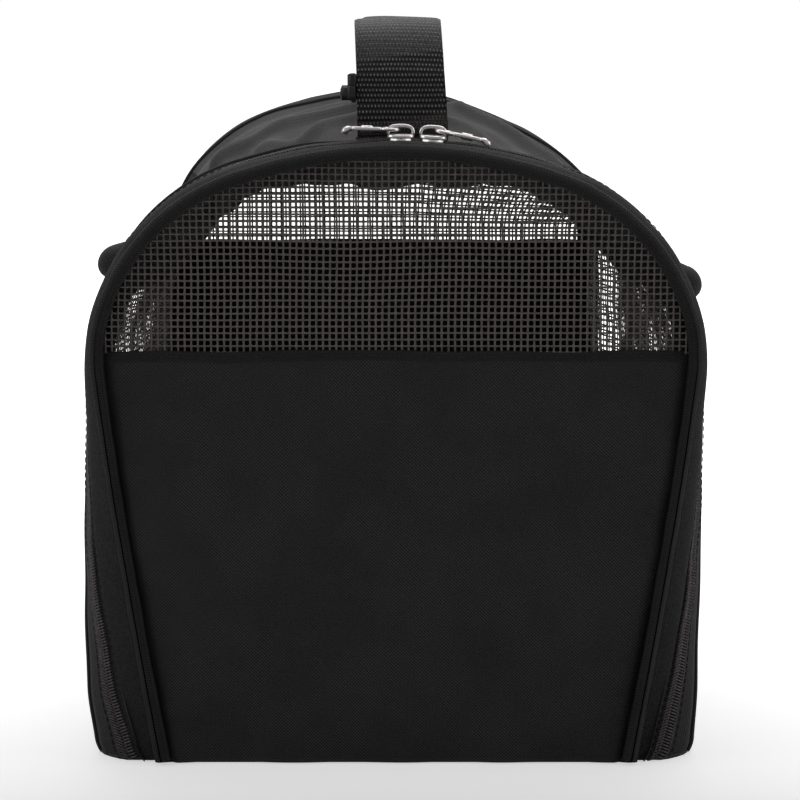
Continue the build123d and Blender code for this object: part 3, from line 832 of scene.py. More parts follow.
def brushed_wire(name):
    """Bare spring steel."""
    n = Nodes(name)
    streak = n.range(n.noise(500.0), 0.3, 0.7)
    return n.surface(greys(n, streak, 0.35, 0.5), 0.35, n.bump(streak, 0.0001, 0.3), metallic=1.0)


def moulded_plastic(name, value):
    """Matt moulded plastic around a given lightness."""
    n = Nodes(name)
    patch = n.range(n.noise(120.0), 0.3, 0.7)
    colour = greys(n, patch, value * 0.8, value * 1.3)
    return n.surface(colour, n.range(patch, 0.0, 1.0, 0.38, 0.5), n.bump(n.noise(1800.0, 2.0), 0.00008, 0.5))


def fleece_pile(name):
    """Short tufted pile."""
    n = Nodes(name)
    tuft = n.noise(420.0, 4.0, 0.7)
    clump = n.noise(60.0, 3.0, 0.6)
    colour = greys(n, n.range(tuft * 0.6 + clump * 0.4, 0.35, 0.65), 0.20, 0.42, 0.03)
    fine = n.bump(tuft, 0.0012, 0.9)
    return n.surface(colour, 0.95, n.bump(clump, 0.002, 0.4, under=fine), sheen=0.7, specular=0.1)


def studio_floor(name):
    """Painted light: a glow seen only by the camera, pale grey near the camera and running out to pure white
    behind the bag, over a base colour that grows paler the same way.
    """
    n = Nodes(name)
    fade = n.range(n.place(1), -0.26, 0.30)
    seen = Value(n, n.new("ShaderNodeLightPath").outputs["Is Camera Ray"])
    n.bsdf.inputs["Emission Color"].default_value = (1, 1, 1, 1)
    # painted light: the floor glows to camera rays only, more strongly behind the bag
    n.put(n.range(fade ** 0.8, 0.0, 1.0, 0.45, 1.0) * seen, n.bsdf.inputs["Emission Strength"])
    return n.surface(greys(n, fade, 0.62, 0.90), 0.7, n.bump(n.noise(900.0, 2.0), 0.0002, 0.1), specular=0.2)


CLOTH_WARMTH = 0.06
DOOR_CLOTH = fine_twill("door_cloth", 0.0015, 0.047)
# seam: painted shade along the gusset's edge beside the piping
GUSSET_CLOTH = woven_cloth("gusset_cloth", 0.006, 0.040, pitch=0.00085, sheen=0.06, seam=0.0022)
SIDE_CLOTH = woven_cloth("side_cloth", 0.006, 0.028, pitch=0.00095, sheen=0.12)
ROOF_CLOTH = woven_cloth("roof_cloth", 0.012, 0.046, pitch=0.00095, sheen=0.3, rough=0.7)
FLOOR_CLOTH = woven_cloth("floor_cloth", 0.006, 0.018, pitch=0.0008)
COVER_CLOTH = woven_cloth("cover_cloth", 0.006, 0.030, pitch=0.0009, sheen=0.15)
SLEEVE_CLOTH = woven_cloth("sleeve_cloth", 0.006, 0.018)
# painted shade on the cord's sides on the upright legs
PIPING_CLOTH = piping_twill("piping_cloth", 0.002, 0.032)
BINDING_TAPE = ribbed_tape("binding_tape", 0.004, 0.019)
ZIP_TAPE = ribbed_tape("zip_tape", 0.009, 0.036, 0.0007)
ELASTIC = ribbed_tape("elastic", 0.006, 0.022, 0.0008)
WEBBING = webbing_weave("webbing", 0.0008, 0.34)
MESH_STRAND = coated_strand("window_mesh")
COIL = nylon_coil("zip_coil")
METAL = plated_metal("zip_metal")
STOP_METAL = blackened_metal("stop_metal")
WIRE = brushed_wire("hoop_wire")
KEEPER_PLASTIC = moulded_plastic("keeper_plastic", 0.010)
BOARD_PLASTIC = moulded_plastic("board", 0.03)
FLEECE = fleece_pile("fleece")


# ---- strips of the bag's skin -----------------------------------------------------------------------

ROOF_ARC = arc_at_height(ROOF_SEAM_Z)


def skin_uv(s, y):
    """Texture place of skin points: metres along the bag and metres round the arch."""
    return np.stack(np.broadcast_arrays(y, s), -1)


def arch_outward(s, shape):
    """Outward direction of the arch at arc distance s, as a field of the given shape."""
    _, _, nx, nz = arch_at(s)
    field = np.zeros(shape + (3,))
    field[..., 0] = nx
    field[..., 2] = nz
    return field


def facing(points, direction):
    """The same direction at every point."""
    return np.broadcast_to(np.array(direction, float), points.shape)


def skin_strip(y0, y1, s0, s1, depth, thickness, step_s=0.003, step_y=0.003, edge_roll=0.0, puff=0.0):
    """Closed strip of cloth between two places along the bag and two arc distances."""
    rows = max(2, int(abs(s1 - s0) / step_s) + 1)
    cols = max(2, int(abs(y1 - y0) / step_y) + 1)
    s = np.linspace(s0, s1, rows)[:, None]
    y = np.linspace(y0, y1, cols)[None, :]
    share = np.abs(np.linspace(-1, 1, cols))[None, :]
    roll = edge_roll * np.clip((share - 0.6) / 0.4, 0, 1) ** 2 - puff * (1 - share ** 2)
    points = skin(s, y, depth + roll)
    return sheet(points, thickness, skin_uv(s, y), arch_outward(s, points.shape[:2]))


def row_on_skin(y, s, depth):
    """Points, along-arch directions and outward normals of a row that follows the arch."""
    points = skin(s, y, depth)
    along = unit(skin(s + 0.0005, y, depth) - points)
    lengthwise = unit(skin(s, y + 0.0005, depth) - points)
    normal = np.cross(along, lengthwise)
    outward = arch_outward(s, points.shape[:-1])
    normal *= np.sign(np.sum(normal * outward, -1, keepdims=True))
    return points, along, lengthwise, normal


def stitch_row(y, s_end, depth=-0.0002):
    """Row of separate stitches following the arch from side to side."""
    s = np.arange(-s_end, s_end, STITCH_LENGTH + STITCH_GAP)
    size = (STITCH_LENGTH, STITCH_WIDTH, STITCH_WIDTH * 0.8)
    return many_blocks(*row_on_skin(y, s, depth), size)


def stitch_line(start, end, up, length=STITCH_LENGTH, gap=STITCH_GAP):
    """Row of stitches along a straight line."""
    start, end, up = (np.asarray(p, float) for p in (start, end, up))
    reach = np.linalg.norm(end - start)
    along = (end - start) / reach
    count = max(1, int(reach / (length + gap)))
    centres = start + along * ((np.arange(count) + 0.5) * reach / count)[:, None]
    across = np.cross(up, along)
    spread = np.ones((count, 1))
    size = (length, STITCH_WIDTH, STITCH_WIDTH * 0.8)
    return many_blocks(centres, spread * along, spread * across, spread * up, size)


# ---- end outline: flat plates, meshes and piping at the two ends ------------------------------------

def end_curve(inset, s, y=PANEL_Y):
    """Arch outline at an end, moved in along its normal and lifted a little at the crown."""
    x, z, nx, nz = arch_at(s)
    lift = CROWN_LIFT * hump(x, 0, CROWN_FADE)
    return x - nx * inset - np.sign(x) * corner_tuck(y, z), z - nz * inset + lift


def end_half_width(z, inset):
    """Half width of the end outline at given heights."""
    x, height = end_curve(inset, np.linspace(0, ARCH_END, 700))
    return np.interp(-np.asarray(z, float), -height, x)


PANEL_SEED = 31                                   # picks the creases of the door panel


def panel_surface(x, z, seed):
    """How far the end panel stands outward of its flat plane."""
    width = np.maximum(end_half_width(z, PANEL_INSET), 0.02)
    across = np.clip(np.abs(x) / width, 0, 1)
    up = np.clip(z / END_SEAM_Z, 0, 1)
    belly = 0.0020 * (1 - across ** 2.2) * np.sin(math.pi * up) ** 0.8
    crease = 0.0017 * waves(x, z, 7, 0.085, seed) + 0.0003 * waves(x * 1.4, z, 6, 0.03, seed + 1)
    edge_dip = 0.0030 * smooth((np.abs(x) - width + 0.0035) / 0.0050)
    pucker = 0.0003 * np.sin(2 * math.pi * z / 0.009 + 5 * np.sin(z * 90)) * rise(across, 0.86, 0.14)
    hem_pull = 0.0006 * hump(z, END_SEAM_Z, 0.006)
    foot = 0.0006 * np.sin(2 * math.pi * x / 0.05 + 1.3) * hump(z, 0, 0.012)
    quiet = 0.55 + 0.45 * np.sin(math.pi * up)
    return belly + crease * quiet - edge_dip + pucker - hem_pull + foot


def end_panel(end, low, seed=PANEL_SEED):
    """Lower cloth panel of the door (end -1) or rear (+1), its side edges tucked under the piping."""
    rows, cols = 74, 130
    z = np.linspace(low, END_SEAM_Z + 0.0008, rows)[:, None]
    share = np.linspace(-1, 1, cols)[None, :]
    share = np.sign(share) * np.abs(share) ** 0.85
    x = share * end_half_width(z, PIPING_INSET + 0.0008)
    z = z + 0 * x
    y = end * (PANEL_Y + panel_surface(x, z, seed))
    points = np.stack([x - wall_buckle(x, y, z), y, z], -1)
    return sheet(points, CLOTH, np.stack([x, z], -1), facing(points, (0, end, 0)))


def strand_net(points, normals, inside, dir_a, dir_b):
    """Woven strands through a grid of crossing points; dir_a and dir_b run along the two grid axes."""
    parts = []
    crossing = np.arange(inside.size).reshape(inside.shape)
    parity = np.indices(inside.shape).sum(0) % 2 * 2 - 1
    along_a = inside[:-1] & inside[1:]
    along_b = inside[:, :-1] & inside[:, 1:]
    for across, side, start, stop in (
        (dir_b, 1, crossing[:-1][along_a], crossing[1:][along_a]),
        (dir_a, -1, crossing[:, :-1][along_b], crossing[:, 1:][along_b]),
    ):
        centre = points + normals * (parity * side * STRAND_WEAVE)[..., None]
        ring = []
        for angle in np.linspace(0, 2 * math.pi, 6, endpoint=False):
            aside = across * (math.cos(angle) * STRAND_WIDTH / 2)
            ring.append(centre + aside + normals * (math.sin(angle) * STRAND_THICK / 2))
        verts = np.stack(ring, 2).reshape(-1, 3)
        faces = []
        for k in range(6):
            m = (k + 1) % 6
            faces.append(np.stack([start * 6 + k, start * 6 + m, stop * 6 + m, stop * 6 + k], 1))
        uv = np.repeat(points.reshape(-1, 3)[:, [0, 2]], 6, axis=0)
        parts.append(used_only(verts, np.concatenate(faces), uv))
    centre, normal, a, b = (field[inside] for field in (points, normals, dir_a, dir_b))
    reach = STRAND_WIDTH / 2 + 0.00058
    corner = []
    for deep in (1, -1):
        for da, db in ((1, 0), (0, 1), (-1, 0), (0, -1)):
            aside = centre + a * (da * reach) + b * (db * reach)
            corner.append(aside + normal * (deep * STRAND_THICK * 0.30))
    knots = np.stack(corner, 1).reshape(-1, 3)
    base = (np.arange(len(centre)) * 8)[:, None]
    faces = [[0, 1, 2, 3], [7, 6, 5, 4], [0, 4, 5, 1], [1, 5, 6, 2], [2, 6, 7, 3], [3, 7, 4, 0]]
    faces = np.concatenate([base + np.array(f) for f in faces]).tolist()
    parts.append((knots, faces, np.repeat(centre[:, [0, 2]], 8, axis=0)))
    return merge(parts)


def end_net(end, seed):
    """Open mesh window of one end, from behind the panel's top edge up to under the piping."""
    z = np.arange(END_SEAM_Z + 0.0010, HEIGHT, MESH_PITCH)
    half = MESH_PITCH * 46
    x = np.arange(-half, half + 1e-6, MESH_PITCH)
    x, z = np.meshgrid(x, z, indexing="ij")
    free = rise(z, END_SEAM_Z, 0.04)
    slack = 0.0010 * waves(x, z, 6, 0.12, seed) * free
    drift_x = 0.00022 * waves(x, z, 6, 0.06, seed + 1)
    drift_z = 0.00026 * waves(x, z, 6, 0.07, seed + 2) * free
    inside = np.abs(x) < end_half_width(z, PIPING_INSET + 0.0010)
    points = np.stack([x + drift_x, end * (PANEL_Y - 0.0018 + slack), z + drift_z], -1)
    points = settle(points)
    outward, sideways, upward = (facing(points, way) for way in ((0, end, 0), (1, 0, 0), (0, 0, 1)))
    return strand_net(points, outward, inside, sideways, upward)


def end_hem(end):
    """Narrow folded edge along the top of the end panel, with one row of stitches."""
    half = float(end_half_width(END_SEAM_Z, PANEL_INSET - 0.0025))
    x = np.linspace(-half, half, 90)
    profile = np.array([
        (-0.0030, -0.0002), (-0.0026, 0.0004), (-0.0012, 0.0007), (0.0004, 0.0006), (0.0014, 0.0005),
        (0.0018, -0.0006),
    ])
    wobble = 0.0004 * waves(x, x * 0, 5, 0.05, 51)
    lift = panel_surface(x, END_SEAM_Z + 0 * x, PANEL_SEED)
    rows = [np.stack([x, end * (PANEL_Y + lift + out), END_SEAM_Z + dz + wobble], -1) for dz, out in profile]
    points = np.stack(rows, 0)
    uv = np.stack(np.broadcast_arrays(x[None, :], profile[:, :1]), -1)
    fold = sheet(points, 0.0006, uv, facing(points, (0, end, 0)))
    x_stitch = np.arange(-half + 0.003, half - 0.003, 0.0034)
    lift = panel_surface(x_stitch, END_SEAM_Z + 0 * x_stitch, PANEL_SEED)
    z_stitch = END_SEAM_Z - 0.0004 + np.interp(x_stitch, x, wobble)
    spots = np.stack([x_stitch, end * (PANEL_Y + lift + 0.0009), z_stitch], -1)
    ways = [facing(spots, way) for way in ((1, 0, 0), (0, 0, 1), (0, end, 0))]
    verts, faces, uvs = merge([fold, many_blocks(spots, *ways, (0.0025, 0.0005, 0.0004))])
    return settle(verts), faces, uvs


def end_piping(end, low):
    """Piping cord round the end."""
    low_s = ARCH_END - low
    s = np.linspace(-low_s, low_s, 420)
    x, z = end_curve(PIPING_INSET, s, PIPING_Y)
    sway = 0.00035 * waves(s, s * 0, 6, 0.05, 61 + end)
    y = end * (PIPING_Y + 0.0002 + sway)
    flare = 0.14 * smooth(1 - z / 0.06)
    radius = PIPING_RADIUS * (0.99 + flare + 0.03 * waves(s, s * 0, 5, 0.02, 63))
    return tube(settle(np.stack([x, y, z], -1)), radius, sides=20, up=(0, end, 0))


# ---- zip --------------------------------------------------------------------------------------------

def coil_half(end_side):
    """One half of the nylon coil: slanted elements with a stitched cord over them."""
    low = arc_at_height(COIL_END_Z)
    pitch = 0.00132
    s = np.arange(-low, low, pitch)
    if end_side < 0:
        s = s + pitch / 2
    half = COIL_HALF * COIL_SPREAD
    y = ZIP_Y + end_side * (half / 2 - 0.0001) + 0 * s
    _, z, _, _ = arch_at(s)
    recess = 0.0014 * rise(z, 0.07, 0.04) * fall(z, 0.268, 0.01)
    points, along, lengthwise, normal = row_on_skin(y, s, recess)
    slant = unit(lengthwise + along * (0.42 * end_side))
    across = np.cross(normal, slant)
    parts = [many_blocks(points, slant, across, normal, (half + 0.0005, 0.00088, 0.0019), corner=0.22)]
    for share, length in ((0.30, 0.62), (0.86, 0.80)):
        row = row_on_skin(ZIP_Y + end_side * (half * share) + 0 * s, s, recess - 0.0007)
        parts.append(many_blocks(*row, (pitch * length, 0.0008, 0.0009), corner=0.3))
    return merge(parts)


def zip_tape(y0, y1):
    """Flat tape beside the coil, between two places along the bag."""
    low = arc_at_height(HEM_Z)
    return skin_strip(y0, y1, -low, low, 0.0011, 0.0009, step_s=0.002, step_y=0.0010)


# ---- side windows -----------------------------------------------------------------------------------

WINDOW_CORNER = 0.026
TRIM_HALF = 0.0042                                # half width of the binding
WINDOW_TOP_ARC = arc_at_height(WINDOW_HIGH)
WINDOW_LOW_ARC = arc_at_height(WINDOW_LOW)
WINDOW_MID_ARC = (WINDOW_TOP_ARC + WINDOW_LOW_ARC) / 2
WINDOW_HALF_ARC = (WINDOW_LOW_ARC - WINDOW_TOP_ARC) / 2


def window_distance(s, y):
    """Signed distance outside the rounded window outline, measured on the cloth."""
    past_y = np.abs(y) - (WINDOW_HALF_LENGTH - WINDOW_CORNER)
    past_s = np.abs(np.abs(s) - WINDOW_MID_ARC) - (WINDOW_HALF_ARC - WINDOW_CORNER)
    outside = np.hypot(np.maximum(past_y, 0), np.maximum(past_s, 0))
    return outside + np.minimum(np.maximum(past_y, past_s), 0) - WINDOW_CORNER


def window_outline(grow, count=260):
    """Arc distance and y of evenly spaced points round the window outline."""
    half_s, half_y = WINDOW_HALF_ARC + grow, WINDOW_HALF_LENGTH + grow
    corner = WINDOW_CORNER + grow
    flat_s, flat_y = half_s - corner, half_y - corner
    quarters = (                                   # start of the straight run, its direction, next corner
        ((-flat_y, half_s), (1, 0), (flat_y, flat_s)), ((half_y, flat_s), (0, -1), (flat_y, -flat_s)),
        ((flat_y, -half_s), (-1, 0), (-flat_y, -flat_s)), ((-half_y, -flat_s), (0, 1), (-flat_y, flat_s)),
    )
    runs = [2 * flat_y, 2 * flat_s] * 2
    bend = corner * math.pi / 2
    walk = np.linspace(0, sum(runs) + 4 * bend, count, endpoint=False)
    points = np.zeros((count, 2))
    start = 0.0
    for turn, ((first, direction, centre), run) in enumerate(zip(quarters, runs)):
        on_run = (walk >= start) & (walk < start + run)
        points[on_run] = np.array(first) + (walk[on_run] - start)[:, None] * direction
        start += run
        on_bend = (walk >= start) & (walk < start + bend)
        angle = math.pi / 2 - turn * math.pi / 2 - (walk[on_bend] - start) / corner
        points[on_bend] = np.array(centre) + corner * np.stack([np.cos(angle), np.sin(angle)], 1)
        start += bend
    return points[:, 1] + WINDOW_MID_ARC, points[:, 0]


def side_wall(side):
    """Side panel with its window left open."""
    low = arc_at_height(HEM_Z)
    rows, cols = 92, 150
    s = side * np.linspace(ROOF_ARC, low, rows)[:, None]
    y = np.linspace(-BAND_Y, BAND_Y, cols)[None, :]
    points = skin(s, y)
    s_mid = (s[:-1] + s[1:]) / 2
    y_mid = (y[:, :-1] + y[:, 1:]) / 2
    keep = window_distance(s_mid, y_mid) > -0.0015
    return sheet(points, PADDED, skin_uv(s, y), arch_outward(s, points.shape[:2]), keep)


def side_net(side):
    """Mesh of one side window, tucked under its binding."""
    half_y = WINDOW_HALF_LENGTH + 0.004
    count = int(half_y / MESH_PITCH)
    y = np.arange(-count, count + 1) * MESH_PITCH
    s = np.arange(WINDOW_TOP_ARC - 0.004, WINDOW_LOW_ARC + 0.004, MESH_PITCH)
    y, s = np.meshgrid(y, s, indexing="ij")
    points = skin(side * s, y, 0.0012)
    normals = grid_normals(points)
    outward = arch_outward(side * s, points.shape[:2])
    normals *= np.sign(np.sum(normals * outward, -1, keepdims=True))
    inside = window_distance(s, y) < 0.0025
    lengthwise, upward = (unit(np.gradient(points, axis=axis)) for axis in (0, 1))
    return strand_net(points, normals, inside, lengthwise, upward)


def window_trim(side):
    """Binding folded over the window edge, inside and out, with two rows of stitches."""
    parts = []
    grows = np.linspace(-TRIM_HALF, TRIM_HALF, 7)
    for depth, thick, roll in ((-0.0010, 0.0011, 0.0007), (PADDED + 0.0001, 0.0008, -0.0007)):
        rows = []
        for grow in grows:
            s, y = window_outline(grow)
            rows.append(skin(side * s, y, depth + roll * (grow / TRIM_HALF) ** 4))
        points = np.stack(rows, 1)
        points = np.concatenate([points, points[:1]], 0)
        s, _ = window_outline(0)
        outward = arch_outward(side * np.append(s, s[0]), (len(s) + 1,))[:, None, :] + 0 * points
        walk = np.linspace(0, 0.82, len(s) + 1)[:, None]
        uv = np.stack(np.broadcast_arrays(walk, grows[None, :]), -1)
        parts.append(sheet(points, thick, uv, outward))
    for grow in (-0.0026, 0.0026):
        s, y = window_outline(grow, 250)
        points = skin(side * s, y, -0.0013)
        along = unit(np.roll(points, -1, 0) - points)
        normal = arch_outward(side * s, (len(s),))
        across = np.cross(normal, along)
        parts.append(many_blocks(points, along, across, normal, (0.0024, 0.0006, 0.0005)))
    return merge(parts)


# ---- covers, ties, hoops, handle, sliders, inside ---------------------------------------------------

ROLL_ARC = {-1: arc_at_height(0.2160), 1: arc_at_height(0.2065)}
ROLL_RADIUS = 0.0084
ROLL_HALF_LENGTH = 0.155
TIE_Y = 0.092
FOOT_RISE = 0.0015                                # how far a handle foot patch stands above the roof


def roll_arc(side, y):
    """Arc distance of a rolled cover: drooping between its ties and lower toward the rear."""
    droop = 0.0030 * (1 - np.cos(math.pi * y / TIE_Y)) / 2 + 0.0012 * waves(y, y * 0, 4, 0.09, 71 + side)
    return ROLL_ARC[side] + droop + 0.012 * rise(y, -0.10, 0.25)


def roll_squeeze(y):
    """Radius share of the rolled cover: pinched by the elastic ties and closing at its two ends."""
    pinch = hump(np.abs(y), TIE_Y, 0.012)
    close = np.clip((ROLL_HALF_LENGTH - np.abs(y)) / 0.011, 0, 1)
    rear = 1 - 0.30 * rise(y, -0.10, 0.25)
    return rear * (1 - 0.16 * pinch) * (0.12 + 0.88 * np.sqrt(1 - (1 - close) ** 2))


def roll_centre(side, y):
    """Centre line of a rolled cover, its own radius above the skin."""
    s = side * roll_arc(side, y)
    radius = ROLL_RADIUS * roll_squeeze(y)
    return skin(s, y) + arch_outward(s, s.shape) * radius[..., None]


def cover_roll(side):
    """Window cover rolled up under the roof seam: flap from the shoulder, then a spiral of cloth."""
    turns, flap_reach, cloth = 2.6, 0.036, 0.0008
    share = np.linspace(-1, 1, 150)
    y = ROLL_HALF_LENGTH * np.sin(share * math.pi / 2) * 0.999
    radius = ROLL_RADIUS * roll_squeeze(y)[None, :]
    t = np.linspace(0, 1, 18)[:-1, None]
    start_u, start_h = flap_reach * np.clip(radius / ROLL_RADIUS, 0.5, 1), 0.0010
    corners = (
        (start_u, start_h), (start_u * 0.55, start_h),
        (1.3 * radius, 1.1 * radius), (0.7 * radius, 1.7 * radius),
    )
    weights = ((1 - t) ** 3, 3 * t * (1 - t) ** 2, 3 * t ** 2 * (1 - t), t ** 3)
    flap_u = sum(w * u for w, (u, _) in zip(weights, corners))
    flap_h = sum(w * h for w, (_, h) in zip(weights, corners))
    turn = np.linspace(0, 2 * math.pi * turns, 110)[:, None]
    uneven = 1 + 0.04 * waves(turn * 0.01, y[None, :], 6, 0.05, 73 + side)
    inner = radius * (1 - 0.72 * turn / turn[-1]) * uneven
    roll_u = inner * np.cos(math.pi / 4 + turn)
    roll_h = radius + inner * np.sin(math.pi / 4 + turn)
    up = np.concatenate([flap_u, roll_u * np.ones_like(roll_h)])
    height = np.concatenate([flap_h, roll_h])
    s = side * (roll_arc(side, y)[None, :] - up)
    points = skin(s, y[None, :], -height)
    walk = walk_length(points[:, 75])
    uv = np.stack(np.broadcast_arrays(y[None, :], walk[:, None]), -1)
    outward = unit(skin(s, y[None, :], -height - 0.001) - points)
    outward[len(flap_u):] = points[len(flap_u):] - roll_centre(side, y)[None]
    return sheet(points, cloth, uv, outward)


def cover_ties(side):
    """Elastic loops round the rolled cover, sewn to the roof above and tucked behind."""
    parts = []
    for at in (-TIE_Y, TIE_Y):
        y = np.array([at])
        radius = ROLL_RADIUS * float(roll_squeeze(y)[0])
        angles = np.linspace(math.radians(120), math.radians(-150), 40)
        lead = np.linspace(0, 1, 8)[:-1]
        loop_u = radius * 1.12 * np.cos(angles - math.pi / 3)
        loop_h = radius + radius * 1.12 * np.sin(angles - math.pi / 3)
        up = np.concatenate([0.024 + (radius * 0.9 - 0.024) * lead, loop_u])
        height = np.concatenate([0.0022 + radius * 1.3 * smooth(lead), loop_h])
        s = side * (roll_arc(side, y) - up)
        parts.append(ribbon(skin(s, np.full(len(up), at), -height - 0.0006), 0.010, 0.0011))
        foot = skin(s[:2], np.full(2, at), -0.0034)
        for dy in (-0.003, 0.003):
            start, stop = foot + [0, dy, 0]
            parts.append(stitch_line(start, stop, (side, 0, 0), 0.0018, 0.0006))
    return merge(parts)


def hoop_path(end, drop_z):
    """Line of a hoop inside the end of the bag."""
    low = arc_at_height(drop_z)
    s = np.linspace(-low, low, 260)
    return skin(s, end * HOOP_Y, HOOP_DEPTH)


def hoop_wire(end):
    """Spring wire that holds one end of the bag up."""
    return tube(hoop_path(end, 0.007), WIRE_RADIUS, sides=10, up=(0, 1, 0))


def hoop_sleeve(end):
    """Cloth sleeve round a hoop, a little uneven."""
    path = hoop_path(end, 0.005)
    s = np.linspace(0, 1, len(path))
    radius = SLEEVE_RADIUS * (1 + 0.04 * waves(s * 3, s * 0, 5, 0.08, 81))
    return tube(path, radius, sides=12, up=(0, 1, 0))


def foot_patch(end):
    """Webbing end sewn down over the hoop with a crossed box of stitches."""
    y = np.linspace(HOOP_Y - 0.018, HOOP_Y + 0.0012, 12) * end
    x = np.linspace(-0.92 * STRAP_HALF, 0.92 * STRAP_HALF, 26)
    x_grid, y_grid = np.meshgrid(x, y, indexing="ij")
    points = skin(x_grid, y_grid, -FOOT_RISE)
    outward = arch_outward(x_grid, points.shape[:2])
    uv = np.stack([y_grid, x_grid], -1)
    parts = [sheet(points, FOOT_RISE, uv, outward)]
    corners = [(-0.016, HOOP_Y - 0.016), (0.016, HOOP_Y - 0.016), (0.016, HOOP_Y), (-0.016, HOOP_Y)]
    lines = [(0, 1), (1, 2), (2, 3), (3, 0), (0, 2), (1, 3)]
    for a, b in lines:
        ends = []
        for corner_x, corner_y in (corners[a], corners[b]):
            ends.append(skin(np.array(corner_x), np.array(end * corner_y), -FOOT_RISE - 0.0002))
        parts.append(stitch_line(ends[0], ends[1], (0, 0, 1)))
    return merge(parts)


def quarter_turn(count, y, z, radius, start):
    """Points on a quarter circle about y, z from a start angle, leaving out its first point."""
    angles = np.linspace(start, start + math.pi / 2, count)[1:]
    return [(y + radius * math.cos(angle), z + radius * math.sin(angle)) for angle in angles]


def strap_line():
    """Middle line of the carrying handle in the YZ plane, front foot to rear foot."""
    middle_z = STRAP_TOP_Z - STRAP_MIDDLE - STRAP_REAR_DROP / 2
    foot_y, foot_z = STRAP_Y - FOOT_BEND, HEIGHT + 0.0030
    bend_y = STRAP_Y - STRAP_BEND
    line = []
    for end in (-1, 1):
        top = STRAP_TOP_Z - STRAP_MIDDLE - (STRAP_REAR_DROP if end > 0 else 0)
        points = [(STRAP_Y - 0.015, foot_z), (foot_y, foot_z)]
        points += quarter_turn(6, foot_y, foot_z + FOOT_BEND, FOOT_BEND, -math.pi / 2)
        for z in np.linspace(HANDLE_PIVOT_Z - 0.003, top - STRAP_BEND, 6):
            points.append((STRAP_Y + 0.0012 * math.sin((z - HEIGHT) / 0.05 * math.pi), z))
        points += quarter_turn(10, bend_y, top - STRAP_BEND, STRAP_BEND, 0.0)
        for share in np.linspace(0, 1, 14)[1:]:
            points.append((bend_y * (1 - share), top + (middle_z - top) * share - STRAP_SAG * smooth(share)))
        half = np.array(points) * [end, 1]
        line.append(half if end < 0 else half[:-1][::-1])
    line = np.concatenate(line)
    length = walk_length(line)
    walk = np.linspace(0, length[-1], 330)
    return walk, np.stack([np.interp(walk, length, line[:, 0]), np.interp(walk, length, line[:, 1])], 1)


def handle_strap():
    """One length of heavy webbing with slightly cupped, thickened edges."""
    walk, line = strap_line()
    tangent = unit(np.gradient(line, axis=0))
    normal = np.stack([0 * walk, -tangent[:, 1], tangent[:, 0]], 1)[:, None, :]
    walk, line_y, line_z = walk[:, None], line[:, :1], line[:, 1:]
    v = np.linspace(-1, 1, 25)[None, :]
    height = np.clip((line_z - HEIGHT) / (STRAP_TOP_Z - HEIGHT), 0, 1)
    front = line_y < 0
    flare = 1 + 0.055 * (1 - height) ** 2 * front
    shift = 0.0030 * (1 - height) * front + 0.0006 * np.sin(walk * 30)
    cup = 0.0011 * np.sin(math.pi * height) + 0.0004
    lift = cup * v ** 2 + 0.0003 * waves(walk, v * 0.02, 5, 0.04, 91)
    twist = 0.0014 * (1 - height) * front * v
    edge = 0.0006 * np.clip((np.abs(v) - 0.88) / 0.12, 0, 1) ** 2
    flat = np.stack([v * flare * STRAP_HALF + shift, line_y + 0 * v, line_z + 0 * v], -1)
    points = flat + normal * (0.0011 - edge - lift - twist)[..., None]
    crown = skin(points[..., 0], points[..., 1])[..., 2] - HEIGHT
    near_foot = fall(points[..., 2], HEIGHT + 0.018, 0.014)
    points[..., 2] += (crown - 0.0012) * near_foot
    uv = np.stack(np.broadcast_arrays(walk, v * STRAP_HALF), -1)
    return sheet(points, 0.0020, uv, normal + 0 * points)


def keeper():
    """Moulded clip behind the front riser: back bar, two short returned lips, side plate and post."""
    low, high = box_of("handle_keeper")
    x0, x1 = low[0] + 0.0040, high[0] - 0.0036
    back, middle_z = high[1] - 0.0012, (low[2] + high[2]) / 2 - 0.0020
    path = (
        (x0 + 0.0035, low[1] + 0.0014), (x0 + 0.0010, low[1] + 0.0018), (x0, low[1] + 0.0032),
        (x0 + 0.0008, back - 0.0006), (x0 + 0.0030, back), (0, back), (x1 - 0.0030, back),
        (x1 - 0.0008, back - 0.0006), (x1, low[1] + 0.0034),
    )
    path = np.array([(x, y, middle_z) for x, y in path])
    walk = np.linspace(0, len(path) - 1, 60)
    dense = np.stack([np.interp(walk, range(len(path)), path[:, k]) for k in range(3)], 1)
    parts = [tube(dense, 0.0031, sides=14, flatten=0.34, up=(0, 1, 0))]
    one = np.ones((1, 1))
    across, along, out = one * [1, 0, 0], one * [0, 0, 1], one * [0, 1, 0]
    blocks = (                                     # x and z from the low corner, length, width, depth
        (0.0044, middle_z - low[2], across, along, (0.0070, 0.0066, 0.0034)),
        (0.0062, 0.0084, along, across, (0.0066, 0.0044, 0.0032)),
        (0.0066, 0.0012, along, across, (0.0044, 0.0026, 0.0024)),
    )
    for dx, dz, first, second, size in blocks:
        centre = np.array([[low[0] + dx, low[1] + 0.0030, low[2] + dz]])
        parts.append(many_blocks(centre, first, second, out, size, 0.10))
    return merge(parts)


def crown_turn(points, x):
    """Move points built at the middle of the crown along the zip to x."""
    angle = math.asin(x / CROWN_RADIUS)
    dx = points[:, 0]
    dz = points[:, 2] - CROWN_Z
    turned = points.copy()
    turned[:, 0] = dx * math.cos(angle) + dz * math.sin(angle)
    turned[:, 2] = CROWN_Z - dx * math.sin(angle) + dz * math.cos(angle)
    return turned


